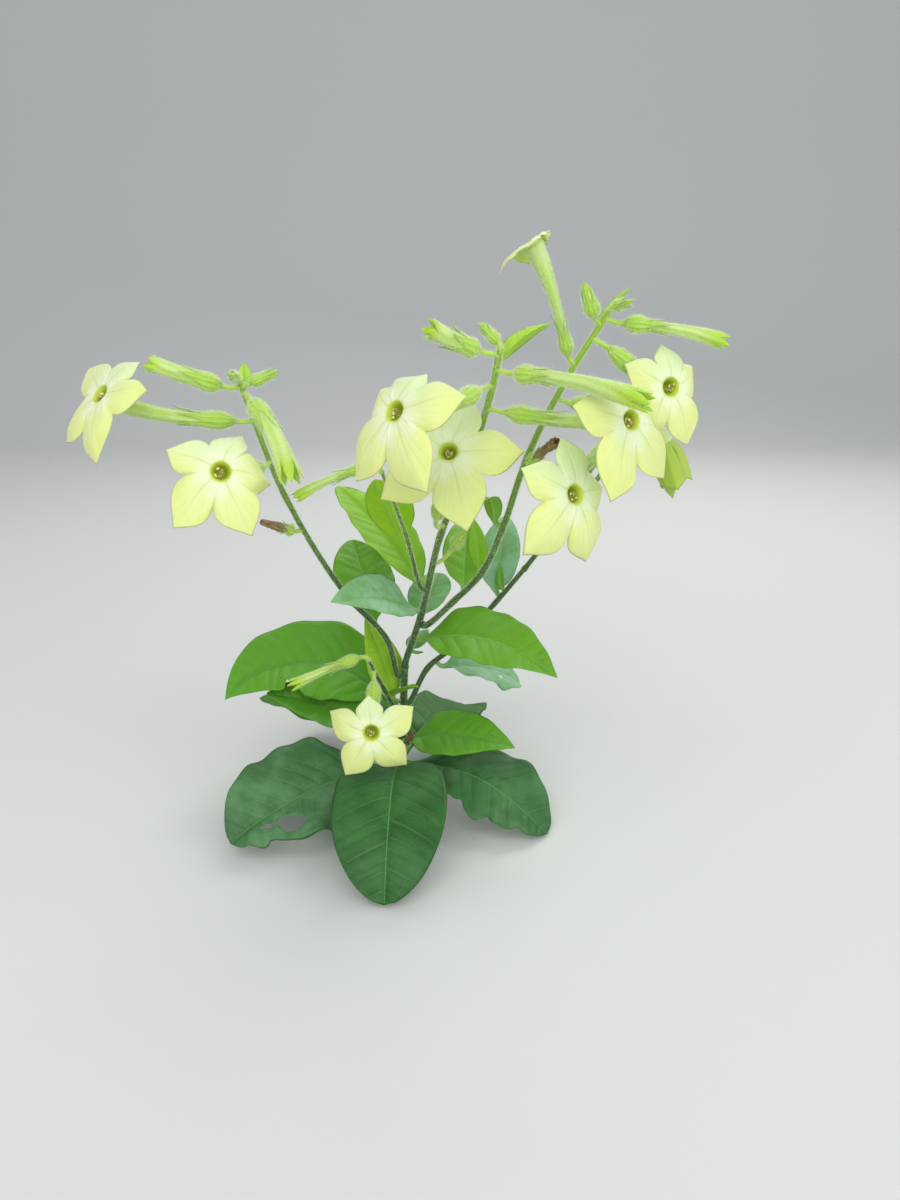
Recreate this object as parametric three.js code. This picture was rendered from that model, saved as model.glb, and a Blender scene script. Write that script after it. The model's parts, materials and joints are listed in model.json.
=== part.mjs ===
// A flowering tobacco plant, rooted in the ground. A short main stem carries a rosette of broad leaves, and
// forks into left, centre, right and back stems and small shoots. They have narrower leaves, and loose sprays
// of long-tubed star flowers, buds and seed pods towards their tips.
// Millimetres and degrees, +Z up. The origin is the middle of the flat cut under the main stem, at ground
// level. The plant leans towards -Y, where the light comes from. A heading of 0 is +X and 90 is +Y.
// Every piece is one closed skin over rings of points, and pieces meet GAP clear of each other.

import * as THREE from "three";

const GAP = 0.3;
const DEGREE = Math.PI / 180;
const UP = new THREE.Vector3(0, 0, 1);

// Stems: sides of the section, and the least run of stem between two rings
const STEM_SIDES = 8;
const STEM_STEP = 14;
const MIN_STEM_RINGS = 10;
const FLARE_SHARE = 0.2; // how far up the main stem its swollen foot reaches
const COLLAR = 1.1; // of its own radius: how far a side shoot runs straight out before it turns up

// Leaves: each is a blade with a stalk, thickest along the rib
const LEAF_STATIONS = 11;
const RIB_THICKNESS = 1 / 50; // of the leaf's length
const BLADE_THICKNESS = 1 / 85;
const THIN_TIP = 0.6; // the rib's thickness at the tip, of that at the stalk
const LEAST_RIB = 1;
const LEAST_BLADE = 0.8;
const STALK_HALF_WIDTH = 1.7;
const STALK_TAPER = 0.3;
const LEAF_COLLAR = 6; // the run over which a stalk turns from straight out of the stem to its own way
const PATH_STEPS = 48; // small steps that add up to a rib's curve
const OPEN_BY = 0.3; // share of the leaf by which its margin has its full waves
const ROLLED_BY = 0.25;
const PLAIN_WAVE = 0.03; // height of a margin's waves, of the half width, where a leaf gives none
const WAVE_RUN = 14; // radians of wave along a leaf
const WAVE_SHIFT = 2.2; // radians between the two margins' waves

// Flowers and buds: radii along the stalk, calyx and tube
const TUBE_SIDES = 10;
const STALK_RADIUS = 1.1;
const CALYX_LENGTH = 19;
const CALYX_RADIUS = 4.6;
const TUBE_RADIUS = 2.9;
const MOUTH_RADIUS = 5.2;
const THROAT_RADIUS = 4.4;
const THROAT_DEPTH = 9;
const LOBES = 5;
const LOBE_OUTLINE = [1, 0.85, 0.72, 0.52]; // reach at even steps from a lobe's tip to the cleft beside it
const UPPER_LOBES = 0.78; // of the lower lobes' reach
const LOBE_THICKNESS = 0.9;
const MOUTH_TURN = 0.34; // share of the tube over which it turns to face its own way
const STALK_LENGTH = 8;
const STALK_ELBOW = 0.45; // of its length: where it bends
const STALK_REACH = 0.6;
const CALYX_RINGS = [0.08, 0.3, 0.6, 0.9];
const TUBE_RINGS = [0.08, 0.4, 0.75];
const TUBE_FLARE = 0.8; // of the way from the tube's radius to the mouth's, at the last tube ring
const MOUTH_DEPTH = 0.05; // of the tube's length: how far behind the star it is as wide as its mouth
const STAR_RINGS = [0.3, 0.68, 1];
const LOBE_TILT = 1.6; // how much steeper a lobe's skin lies than the line from the star's middle to it
const THROAT_TAPER = 0.8;
const THROAT_MIDDLE = 0.55;
const BUD_CALYX = 0.5; // the most of a bud's length that its calyx takes
const BUD_CALYX_RINGS = [0.1, 0.4, 0.85];
const BUD_CALYX_GIRTH = 1.15; // of the bud's head
const BUD_RINGS = [[0.1, 0.75], [0.5, 0.95], [0.75, 0.9], [0.9, 0.5]]; // [place, girth of the head's radius]

// The leaf outlines. widest: where along its length the blade is widest; bare: where the stalk starts to widen;
// neck: where it has become blade; stalk: its share of the blade's width; blunt: below 1 is rounder, above 1
// more pointed.
const OUTLINES = {
  rosette: { widest: 0.58, neck: 0.34, stalk: 0.2, blunt: 0.62 },
  broad: { widest: 0.6, neck: 0.3, stalk: 0.2, blunt: 0.55 },
  pointed: { widest: 0.55, neck: 0.3, stalk: 0.2, blunt: 0.85 },
  tapered: { widest: 0.5, neck: 0.26, stalk: 0.24, blunt: 1.05 },
  stem: { widest: 0.43, neck: 0.16, stalk: 0.34, blunt: 0.95 },
  round: { widest: 0.5, neck: 0.2, stalk: 0.34, blunt: 0.66 },
  spoon: { widest: 0.72, bare: 0.3, neck: 0.62, stalk: 0.14, blunt: 0.8 },
  bract: { widest: 0.42, neck: 0.2, stalk: 0.4, blunt: 1 },
};

// A stem is a chain of runs between leaf joints, each [length, heading, rise], smoothed into one curve.
const STEMS = {
  main_stem: { legs: [[46, 0, 87], [45, 0, 87]], radii: [3.5, 2.2], flare: 1.9 },
  left_stem: {
    from: "main_stem", at: 0.94, radii: [1.7, 1.4],
    legs: [[29, 216, 73], [47, 217, 51], [80, 232, 57], [72, 244, 63]],
  },
  centre_stem: {
    from: "main_stem", radii: [2.1, 1.6],
    legs: [[43, 309, 65], [65, 294, 62], [56, 302, 57], [49, 291, 55], [25, 283, 55]],
  },
  right_stem: {
    from: "centre_stem", at: 0.16, radii: [1.9, 1.5],
    legs: [[31, 321, 42], [29, 328, 47], [33, 319, 63], [49, 308, 66], [46, 320, 61], [39, 332, 58]],
  },
  back_stem: {
    from: "main_stem", at: 0.72, radii: [1.8, 1.6],
    legs: [[25, 29, 58], [25, 28, 31], [40, 12, 46], [29, 354, 52]],
  },
  back_stem_top: {
    from: "back_stem", radii: [1.6, 1.2],
    legs: [[46, 325, 53], [50, 297, 44], [42, 276, 45]],
  },
  front_shoot: { from: "main_stem", at: 0.66, legs: [[25, 231, 58], [30, 237, 59]], radii: [1.5, 1.1] },
  axil_shoot: { from: "centre_stem", at: 0.28, legs: [[45, 250, 59], [47, 240, 60]], radii: [1.2, 0.9] },
};

// A leaf: its stem and how far up it, its heading and rise, how far it droops by its tip, its length and
// width, the fold along its rib, its roll towards one side, its sideways turn, and the waves in its margin.
const LEAVES = {
  leaf_front: {
    on: "main_stem", at: 0.2, heading: 269, rise: 47, droop: 106, length: 146, width: 68,
    fold: 6, outline: "broad",
  },
  leaf_front_left: {
    on: "main_stem", at: 0.12, heading: 221, rise: 29, droop: 56, length: 128, width: 76,
    fold: 10, roll: -20, wave: 0.1,
  },
  leaf_front_right: {
    on: "main_stem", at: 0.26, heading: 329, rise: 17, droop: 56, length: 113, width: 62,
    fold: 6, roll: 12, wave: 0.09,
  },
  leaf_right_low: {
    on: "main_stem", at: 0.45, heading: 338, rise: 23, droop: 34, length: 78, width: 42,
    fold: 8, roll: 22, outline: "stem",
  },
  leaf_left_low: {
    on: "main_stem", at: 0.5, heading: 186, rise: 30, droop: 18, length: 91, width: 42,
    fold: 10, roll: -22, outline: "pointed",
  },
  leaf_left: {
    on: "main_stem", at: 0.6, heading: 143, rise: 54, droop: 86, length: 138, width: 64,
    fold: 10, roll: -34, wave: 0.07, turn: 92, outline: "tapered",
  },
  leaf_right_high: {
    on: "centre_stem", at: 0.11, heading: 342, rise: 21, droop: 60, length: 97, width: 48,
    fold: 10, roll: 26, outline: "stem", wave: 0.06,
  },
  leaf_centre_left: {
    on: "centre_stem", at: 0.21, heading: 222, rise: 34, droop: 34, length: 69, width: 36,
    fold: 14, roll: -34, outline: "stem",
  },
  leaf_upright: {
    on: "centre_stem", at: 0.27, heading: 145, rise: 51, droop: 22, length: 90, width: 46,
    fold: 10, outline: "round",
  },
  leaf_spoon: {
    on: "centre_stem", at: 0.31, heading: 210, rise: 62, droop: -6, length: 72, width: 30,
    fold: 14, outline: "spoon", roll: 44,
  },
  leaf_left_upright: {
    on: "left_stem", at: 0.2, heading: 111, rise: 43, droop: 10, length: 68, width: 40,
    fold: 8, outline: "round",
  },
  leaf_shoot_back: {
    on: "main_stem", at: 0.74, heading: 178, rise: 78, droop: 10, length: 64, width: 25,
    fold: 8, outline: "stem", roll: -58,
  },
  leaf_right_upright: {
    on: "right_stem", at: 0.19, heading: 87, rise: 35, droop: 8, length: 69, width: 28,
    fold: 10, outline: "stem",
  },
  leaf_right_bright: {
    on: "right_stem", at: 0.27, heading: 95, rise: 47, droop: 8, length: 38, width: 12,
    fold: 12, outline: "stem",
  },
  leaf_far_right: {
    on: "back_stem", at: 0.8, heading: 72, rise: 68, droop: 10, length: 56, width: 28,
    fold: 8, outline: "round",
  },
  leaf_fork: {
    on: "centre_stem", at: 0.17, heading: 73, rise: 35, droop: 20, length: 45, width: 28,
    fold: 8, outline: "round",
  },
  leaf_behind_fork: {
    on: "centre_stem", at: 0.05, heading: 59, rise: 27, droop: 10, length: 24, width: 15,
    fold: 8, outline: "stem",
  },
  leaf_back_right: {
    on: "back_stem", at: 0.3, heading: 18, rise: 1, droop: 40, length: 65, width: 50,
    fold: 12, roll: 18, wave: 0.12,
  },
  leaf_back_left: {
    on: "main_stem", at: 0.36, heading: 158, rise: 30, droop: 40, length: 112, width: 52,
    fold: 10, wave: 0.06, outline: "pointed",
  },
  leaf_back_low: {
    on: "main_stem", at: 0.2, heading: 124, rise: 34, droop: 70, length: 124, width: 62,
    fold: 8, wave: 0.08, outline: "pointed",
  },
  leaf_back_low_right: {
    on: "main_stem", at: 0.28, heading: 62, rise: 30, droop: 64, length: 104, width: 58,
    fold: 8, wave: 0.08,
  },
  leaf_shoot_bract: {
    on: "front_shoot", at: 0.4, heading: 307, rise: 36, droop: 16, length: 37, width: 13,
    fold: 16, outline: "bract",
  },
  leaf_arching: {
    on: "right_stem", at: 0.42, heading: 259, rise: 75, droop: 84, length: 45, width: 11,
    fold: 12, outline: "bract",
  },
  leaf_spray_left: {
    on: "left_stem", at: 0.975, heading: 100, rise: 66, droop: 10, length: 16, width: 8,
    fold: 16, outline: "bract",
  },
  leaf_spray_centre: {
    on: "centre_stem", at: 0.975, heading: 22, rise: 37, droop: 10, length: 31, width: 17,
    fold: 28, outline: "bract",
  },
  leaf_spray_right: {
    on: "right_stem", at: 0.965, heading: 14, rise: 56, droop: 10, length: 26, width: 11,
    fold: 16, outline: "bract",
  },
};

// A flower: its stem and how far up it, the tube's heading, rise and length, the way its face looks, the turn
// of the star about that, the reach of its lower lobes, and how far the lobes bend back. cup: below 1 bends
// them nearer the tube, as in a bell. girth: how stout its calyx is. stalk: the stalk's length.
const FLOWERS = {
  flower_far_left: {
    on: "left_stem", at: 0.9, heading: 199, rise: 14, tube: 65, face: [227, 37],
    turn: -11, reach: 35, reflex: 12,
  },
  flower_left: {
    on: "left_stem", at: 0.79, heading: 257, rise: 7, tube: 47, face: [282, 22],
    turn: -16, reach: 35, reflex: 10,
  },
  flower_centre_left: {
    on: "centre_stem", at: 0.91, heading: 229, rise: -5, tube: 59, face: [228, 24],
    turn: -2, reach: 40, reflex: 12,
  },
  flower_centre: {
    on: "centre_stem", at: 0.5, heading: 281, rise: 50, tube: 56, face: [259, 34],
    turn: -15, reach: 42, reflex: 1, stalk: 18,
  },
  flower_low: {
    on: "front_shoot", at: 0.8, heading: 272, rise: -18, tube: 45, face: [270, 14],
    turn: 5, reach: 32, reflex: 10,
  },
  flower_right_low: {
    on: "back_stem_top", at: 0.95, heading: 247, rise: -12, tube: 70, face: [305, 16],
    turn: -14, reach: 37, reflex: 12,
  },
  flower_right: {
    on: "centre_stem", at: 0.85, heading: 332, rise: 0, tube: 65, face: [303, 16],
    turn: 3, reach: 38, reflex: 8,
  },
  flower_far_right: {
    on: "right_stem", at: 0.935, heading: 358, rise: -30, tube: 37, face: [292, 10],
    turn: -6, reach: 31, reflex: 8,
  },
  flower_top: {
    on: "right_stem", at: 0.87, heading: 214, rise: 64, tube: 59, face: [181, 57],
    turn: 36, reach: 24, reflex: 8, girth: 0.6, stalk: 4,
  },
  flower_hanging: {
    on: "right_stem", at: 0.78, heading: 30, rise: -22, tube: 74, face: [350, -68],
    turn: 20, reach: 30, reflex: -72, cup: 0.5,
  },
};

// A bud: like a flower, with the radius of its closed head; hang bends it down along its length.
const BUDS = {
  bud_left_long: { on: "left_stem", at: 0.985, heading: 191, rise: 17, length: 38, head: 4, hang: -4 },
  bud_left_short: {
    on: "left_stem", at: 0.985, heading: 10, rise: 22, length: 15, head: 2.6, hang: 0,
    stalk: 3,
  },
  bud_left_tip: { on: "left_stem", at: 1, heading: 269, rise: 9, length: 12, head: 2.4, hang: 0, stalk: 3 },
  bud_left_hanging: { on: "left_stem", at: 0.97, heading: 310, rise: -29, length: 54, head: 5.2, hang: 34 },
  bud_axil: { on: "axil_shoot", at: 1, heading: 205, rise: -5, length: 47, head: 3, hang: 26 },
  bud_centre_left: { on: "centre_stem", at: 0.985, heading: 201, rise: 19, length: 29, head: 4.4, hang: -8 },
  bud_centre_back: {
    on: "centre_stem", at: 1, heading: 139, rise: 37, length: 15, head: 2.6, hang: 0,
    stalk: 3,
  },
  bud_centre_right: { on: "centre_stem", at: 0.95, heading: 323, rise: 0, length: 75, head: 4.7, hang: 16 },
  bud_right_long: { on: "right_stem", at: 0.985, heading: 358, rise: -3, length: 54, head: 3.8, hang: 14 },
  bud_right_top: {
    on: "right_stem", at: 0.97, heading: 216, rise: 62, length: 18, head: 3.4, hang: 0,
    stalk: 3,
  },
  bud_right_tip: {
    on: "right_stem", at: 1, heading: 303, rise: 13, length: 13, head: 2.4, hang: 0,
    stalk: 3,
  },
  bud_shoot: { on: "front_shoot", at: 1, heading: 210, rise: -7, length: 48, head: 3.2, hang: 10 },
  bud_side: { on: "centre_stem", at: 0.365, heading: 345, rise: 58, length: 13, head: 3.6, hang: 0, stalk: 16 },
  pod_left: { on: "left_stem", at: 0.58, heading: 213, rise: 22, length: 21, head: 2.3, hang: 0, stalk: 4 },
  pod_right: { on: "right_stem", at: 0.61, heading: 300, rise: 36, length: 29, head: 2.4, hang: 10, stalk: 4 },
  pod_low: { on: "main_stem", at: 0.4, heading: 286, rise: 41, length: 29, head: 2, hang: 0 },
};

const direction = (heading, rise) =>
  new THREE.Vector3(
    Math.cos(heading * DEGREE) * Math.cos(rise * DEGREE),
    Math.sin(heading * DEGREE) * Math.cos(rise * DEGREE),
    Math.sin(rise * DEGREE),
  );
const smooth = (t) => t * t * (3 - 2 * t);
const clamp01 = (t) => Math.min(1, Math.max(0, t));
const mix = (a, b, t) => a + (b - a) * t;

// A closed skin over rings of points. A ring may have a whole multiple of the points of the one beside it.
function skin(rings, first, last) {
  const points = [first];
  const starts = [];
  for (const ring of rings) {
    starts.push(points.length);
    points.push(...ring);
  }
  points.push(last);
  const faces = [];
  const at = (k, i) => starts[k] + (i % rings[k].length);
  for (let i = 0; i < rings[0].length; i++) faces.push([0, at(0, i), at(0, i + 1)]);
  for (let k = 0; k + 1 < rings.length; k++) {
    const widens = rings[k + 1].length >= rings[k].length;
    const [few, many] = widens ? [k, k + 1] : [k + 1, k];
    const times = rings[many].length / rings[few].length;
    const half = Math.ceil(times / 2);
    const strip = [];
    for (let i = 0; i < rings[few].length; i++) {
      for (let j = 0; j < times; j++)
        strip.push([at(few, j < half ? i : i + 1), at(many, times * i + j), at(many, times * i + j + 1)]);
      strip.push([at(few, i), at(many, times * i + half), at(few, i + 1)]);
    }
    if (!widens) for (const face of strip) face.reverse();
    faces.push(...strip);
  }
  const end = points.length - 1;
  const tail = rings.length - 1;
  for (let i = 0; i < rings[tail].length; i++) faces.push([end, at(tail, i + 1), at(tail, i)]);
  let volume = 0;
  for (const [a, b, c] of faces) volume += points[a].dot(points[b].clone().cross(points[c]));
  if (volume < 0) for (const face of faces) face.reverse();
  const geometry = new THREE.BufferGeometry().setFromPoints(points);
  geometry.setIndex(faces.flat());
  geometry.computeVertexNormals();
  return geometry;
}

// A ring of points round a centre, in the plane square to the way given.
function ring(centre, way, radius, sides) {
  const across = Math.abs(way.z) > 0.9 ? new THREE.Vector3(1, 0, 0) : UP;
  const x = across.clone().cross(way).normalize();
  const y = way.clone().cross(x);
  return Array.from({ length: sides }, (_, i) => {
    const turn = (2 * Math.PI * i) / sides;
    return centre
      .clone()
      .addScaledVector(x, radius * Math.cos(turn))
      .addScaledVector(y, radius * Math.sin(turn));
  });
}

function stemRadius({ radii, flare = 1 }, share) {
  return mix(radii[0], radii[1], share) * mix(flare, 1, clamp01(share / FLARE_SHARE));
}

// Where a piece leaves its stem: a point GAP clear of the bark, and the way straight out of it.
function outOf(stem, share, way) {
  const place = stem.curve.getPointAt(share);
  const along = stem.curve.getTangentAt(share);
  if (share >= 1) return { point: place.addScaledVector(along, GAP), out: along };
  const out = way.clone().addScaledVector(along, -way.dot(along)).normalize();
  return { point: place.addScaledVector(out, stemRadius(stem, share) + GAP), out };
}

const stems = {};
function makeStem(name) {
  const { from, at = 1, legs, radii } = STEMS[name];
  const foot = { point: new THREE.Vector3(), out: UP };
  const exit = from ? outOf(stems[from], at, direction(legs[0][1], legs[0][2])) : foot;
  const joints = [exit.point];
  if (from) joints.push(exit.point.clone().addScaledVector(exit.out, radii[0] * COLLAR));
  for (const [length, heading, rise] of legs)
    joints.push(joints.at(-1).clone().addScaledVector(direction(heading, rise), length));
  const curve = new THREE.CatmullRomCurve3(joints, false, "centripetal");
  stems[name] = { ...STEMS[name], curve };
  const count = Math.max(MIN_STEM_RINGS, Math.round(curve.getLength() / STEM_STEP));
  const rings = [];
  for (let i = 0; i <= count; i++) {
    const share = i / count;
    const way = i === 0 ? exit.out : curve.getTangentAt(share);
    rings.push(ring(curve.getPointAt(share), way, stemRadius(stems[name], share), STEM_SIDES));
  }
  return skin(rings, exit.point, curve.getPointAt(1));
}

// A leaf's rib, as points and ways: it turns and droops evenly from its stalk to its tip.
function ribOf(leaf, exit) {
  const { heading, rise, droop, length, turn = 0 } = leaf;
  const points = [exit.point.clone()];
  const ways = [];
  const step = length / PATH_STEPS;
  for (let i = 0; i < PATH_STEPS; i++) {
    const share = (i + 0.5) / PATH_STEPS;
    const bent = direction(heading + turn * share, rise - droop * share);
    const collar = smooth(clamp01((share * length) / LEAF_COLLAR));
    const way = exit.out.clone().lerp(bent, collar).normalize();
    ways.push(way);
    points.push(points[i].clone().addScaledVector(way, step));
  }
  return { points, ways };
}

function leafHalfWidth(leaf, share) {
  const { widest, bare = 0, neck, stalk, blunt } = OUTLINES[leaf.outline ?? "rosette"];
  const power = Math.log(0.5) / Math.log(widest);
  const swell = Math.pow(Math.sin(Math.PI * Math.pow(share, power)), blunt);
  const blade = mix(stalk, 1, smooth(clamp01((share - bare) / (neck - bare))));
  return Math.max((leaf.width / 2) * swell * blade, STALK_HALF_WIDTH * mix(1, STALK_TAPER, share));
}

// Where a leaf's rib is at a share of its length, and the ways across its blade and out of its upper face.
function leafFrame(leaf, rib, share) {
  const place = Math.min(share * PATH_STEPS, PATH_STEPS - 1e-6);
  const i = Math.floor(place);
  const point = rib.points[i].clone().lerp(rib.points[i + 1], place - i);
  const way = rib.ways[i];
  const flat = (leaf.heading + (leaf.turn ?? 0) * share) * DEGREE;
  const side = new THREE.Vector3(Math.sin(flat), -Math.cos(flat), 0);
  side.addScaledVector(way, -side.dot(way)).normalize();
  side.applyAxisAngle(way, (leaf.roll ?? 0) * DEGREE * smooth(clamp01(share / ROLLED_BY)));
  return { point, side, face: side.clone().cross(way) };
}

function makeLeaf(leaf) {
  const { fold, length, wave = PLAIN_WAVE } = leaf;
  const exit = outOf(stems[leaf.on], leaf.at, direction(leaf.heading, leaf.rise));
  const rib = ribOf(leaf, exit);
  const rings = [];
  for (let k = 0; k < LEAF_STATIONS; k++) {
    const share = k / LEAF_STATIONS;
    const half = leafHalfWidth(leaf, share);
    const { point, side, face } = leafFrame(leaf, rib, share);
    const open = smooth(clamp01(share / OPEN_BY));
    const spot = (across, lift) => {
      const slant = Math.abs(across) * half;
      const phase = WAVE_RUN * share + WAVE_SHIFT * Math.sign(across);
      const ripple = wave * half * across * across * Math.sin(phase) * open;
      return point
        .clone()
        .addScaledVector(side, across * half * Math.cos(fold * DEGREE))
        .addScaledVector(face, slant * Math.sin(fold * DEGREE) + ripple + lift);
    };
    const rib2 = Math.max(length * RIB_THICKNESS * mix(1, THIN_TIP, share), LEAST_RIB) / 2;
    const blade2 = Math.max(length * BLADE_THICKNESS, LEAST_BLADE) / 2;
    rings.push([
      spot(-1, 0),
      spot(-0.5, blade2),
      spot(0, rib2),
      spot(0.5, blade2),
      spot(1, 0),
      spot(0.5, -blade2),
      spot(0, -rib2),
      spot(-0.5, -blade2),
    ]);
  }
  return skin(rings, rib.points[0], rib.points[PATH_STEPS]);
}

// The stalk of a flower or bud: out of the stem, then round to the way the tube starts.
function stalkOf(item, way) {
  const stem = stems[item.on];
  const exit = outOf(stem, item.at, way);
  const length = item.stalk ?? STALK_LENGTH;
  const elbow = exit.point.clone().addScaledVector(exit.out, length * STALK_ELBOW);
  const reach = elbow.clone().addScaledVector(way, length * STALK_REACH);
  return { exit, curve: new THREE.QuadraticBezierCurve3(exit.point, elbow, reach) };
}

// Rings of the stalk and the calyx, which swells and then closes on the tube.
function stalkRings(stalk) {
  const rings = [ring(stalk.exit.point, stalk.exit.out, STALK_RADIUS, TUBE_SIDES)];
  for (const share of [0.5, 1])
    rings.push(ring(stalk.curve.getPoint(share), stalk.curve.getTangent(share), STALK_RADIUS, TUBE_SIDES));
  return rings;
}

// The calyx's radius along it: it swells from the stalk, and draws in again round the tube.
function calyxRadius(share, widest) {
  return mix(STALK_RADIUS, widest, Math.pow(Math.sin(Math.PI * Math.pow(share, 0.6) * 0.8), 0.7));
}

// The star's reach round its middle: pointed lobes with a cleft between them, the lower ones longer.
function starReach(flower, step) {
  const steps = 2 * (LOBE_OUTLINE.length - 1);
  const inLobe = step % steps;
  const angle = (2 * Math.PI * step) / (LOBES * steps) + flower.turn * DEGREE;
  const low = 0.5 - 0.5 * Math.cos(angle);
  return flower.reach * mix(UPPER_LOBES, 1, low) * LOBE_OUTLINE[Math.min(inLobe, steps - inLobe)];
}

function makeFlower(flower) {
  const way = direction(flower.heading, flower.rise);
  const look = direction(...flower.face);
  const stalk = stalkOf(flower, way);
  const foot = stalk.curve.getPoint(1);
  const mouth = foot.clone().addScaledVector(way, flower.tube);
  const elbow = mouth.clone().addScaledVector(look, -flower.tube * MOUTH_TURN);
  const axis = new THREE.QuadraticBezierCurve3(foot, elbow, mouth);
  const rings = stalkRings(stalk);
  const calyxEnd = CALYX_LENGTH / flower.tube;
  for (const part of CALYX_RINGS) {
    const share = part * calyxEnd;
    const radius = calyxRadius(part, CALYX_RADIUS * (flower.girth ?? 1));
    rings.push(ring(axis.getPoint(share), axis.getTangent(share), radius, TUBE_SIDES));
  }
  for (const part of TUBE_RINGS) {
    const share = mix(calyxEnd, 1, part);
    const radius = mix(TUBE_RADIUS, MOUTH_RADIUS, smooth(part) * TUBE_FLARE);
    rings.push(ring(axis.getPoint(share), axis.getTangent(share), radius, TUBE_SIDES));
  }
  const right = look.clone().cross(UP).normalize();
  const top = right.clone().cross(look);
  const spot = (radius, angle, lift) =>
    mouth
      .clone()
      .addScaledVector(right, radius * Math.sin(angle + flower.turn * DEGREE))
      .addScaledVector(top, radius * Math.cos(angle + flower.turn * DEGREE))
      .addScaledVector(look, lift);
  const count = 2 * LOBES * (LOBE_OUTLINE.length - 1);
  const angles = Array.from({ length: count }, (_, step) => (2 * Math.PI * step) / count);
  const back = flower.reflex * DEGREE;
  const limb = (share, depth) =>
    angles.map((angle, step) => {
      const reach = mix(THROAT_RADIUS, starReach(flower, step), share);
      const bent = back * Math.pow(share, flower.cup ?? 1);
      const tilt = bent * LOBE_TILT;
      const radius = reach * Math.cos(bent) - depth * Math.sin(tilt);
      return spot(radius, angle, -reach * Math.sin(bent) * share - depth * Math.cos(tilt));
    });
  rings.push(angles.map((angle) => spot(MOUTH_RADIUS, angle, -MOUTH_DEPTH * flower.tube)));
  const [near, far, rim] = STAR_RINGS;
  rings.push(limb(near, LOBE_THICKNESS), limb(far, LOBE_THICKNESS), limb(rim, LOBE_THICKNESS / 2));
  rings.push(limb(far, 0), limb(near, 0), limb(0, 0));
  const inner = angles.filter((_, step) => step % (LOBE_OUTLINE.length - 1) === 0);
  rings.push(inner.map((angle) => spot(THROAT_RADIUS * THROAT_TAPER, angle, -THROAT_DEPTH * THROAT_MIDDLE)));
  return skin(rings, stalk.exit.point, mouth.clone().addScaledVector(look, -THROAT_DEPTH));
}

function makeBud(bud) {
  const way = direction(bud.heading, bud.rise);
  const stalk = stalkOf(bud, way);
  const foot = stalk.curve.getPoint(1);
  const middle = foot.clone().addScaledVector(way, bud.length * 0.5);
  const tip = middle.clone().addScaledVector(direction(bud.heading, bud.rise - bud.hang), bud.length * 0.5);
  const axis = new THREE.QuadraticBezierCurve3(foot, middle, tip);
  const rings = stalkRings(stalk);
  const calyxEnd = Math.min(CALYX_LENGTH / bud.length, BUD_CALYX);
  for (const part of BUD_CALYX_RINGS) {
    const share = part * calyxEnd;
    const radius = calyxRadius(part, Math.min(bud.head * BUD_CALYX_GIRTH, CALYX_RADIUS));
    rings.push(ring(axis.getPoint(share), axis.getTangent(share), radius, TUBE_SIDES));
  }
  for (const [part, girth] of BUD_RINGS) {
    const share = mix(calyxEnd, 1, part);
    rings.push(ring(axis.getPoint(share), axis.getTangent(share), bud.head * girth, TUBE_SIDES));
  }
  return skin(rings, stalk.exit.point, tip);
}

const COLOURS = { stem: 0x5d8a3a, leaf: 0x4f9a2e, bloom: 0xe3ee8c, bud: 0x9ccb3c };
const plant = new THREE.Group();
function add(name, geometry, colour) {
  const material = new THREE.MeshStandardMaterial({ color: colour, roughness: 0.6, metalness: 0 });
  const mesh = new THREE.Mesh(geometry, material);
  mesh.name = name;
  plant.add(mesh);
}
for (const name of Object.keys(STEMS)) add(name, makeStem(name), COLOURS.stem);
for (const [name, leaf] of Object.entries(LEAVES)) add(name, makeLeaf(leaf), COLOURS.leaf);
for (const [name, flower] of Object.entries(FLOWERS)) add(name, makeFlower(flower), COLOURS.bloom);
for (const [name, bud] of Object.entries(BUDS)) add(name, makeBud(bud), COLOURS.bud);

export default plant;
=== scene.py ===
# %% [markdown]
# # A flowering tobacco plant, dressed around its fixed frame
#
# The plant is a low rosette of broad leaves, leaning stems and loose sprays of pale lime stars on long tubes.
# Its solids are already packed, in metres, +Z up, with the origin where the main stem meets the ground. This
# lesson replaces each plain solid by a finer piece made by the same rules, gives each piece its finish, and
# sets up the camera, the floor and the light.

import json
import math

import bmesh
import bpy
import numpy as np
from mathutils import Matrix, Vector

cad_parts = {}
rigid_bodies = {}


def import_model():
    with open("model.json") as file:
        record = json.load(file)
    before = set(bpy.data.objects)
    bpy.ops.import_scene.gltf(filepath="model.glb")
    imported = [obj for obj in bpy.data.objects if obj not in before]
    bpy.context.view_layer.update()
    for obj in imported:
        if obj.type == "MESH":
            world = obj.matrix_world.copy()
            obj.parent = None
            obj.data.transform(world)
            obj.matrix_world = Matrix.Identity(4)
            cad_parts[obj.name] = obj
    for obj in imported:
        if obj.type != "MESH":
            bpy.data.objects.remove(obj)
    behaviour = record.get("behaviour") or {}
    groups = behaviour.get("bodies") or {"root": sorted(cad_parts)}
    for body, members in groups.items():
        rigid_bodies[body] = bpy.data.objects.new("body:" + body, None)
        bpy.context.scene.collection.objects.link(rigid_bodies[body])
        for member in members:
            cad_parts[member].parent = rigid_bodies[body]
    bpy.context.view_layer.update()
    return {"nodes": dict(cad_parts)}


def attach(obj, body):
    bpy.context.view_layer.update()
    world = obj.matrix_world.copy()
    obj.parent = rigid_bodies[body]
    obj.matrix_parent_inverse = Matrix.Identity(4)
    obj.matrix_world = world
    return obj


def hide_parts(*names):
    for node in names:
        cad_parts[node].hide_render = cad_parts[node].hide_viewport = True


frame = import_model()
bpy.ops.object.select_all(action="DESELECT")
print(len(frame["nodes"]), "solids in the frame")

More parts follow.
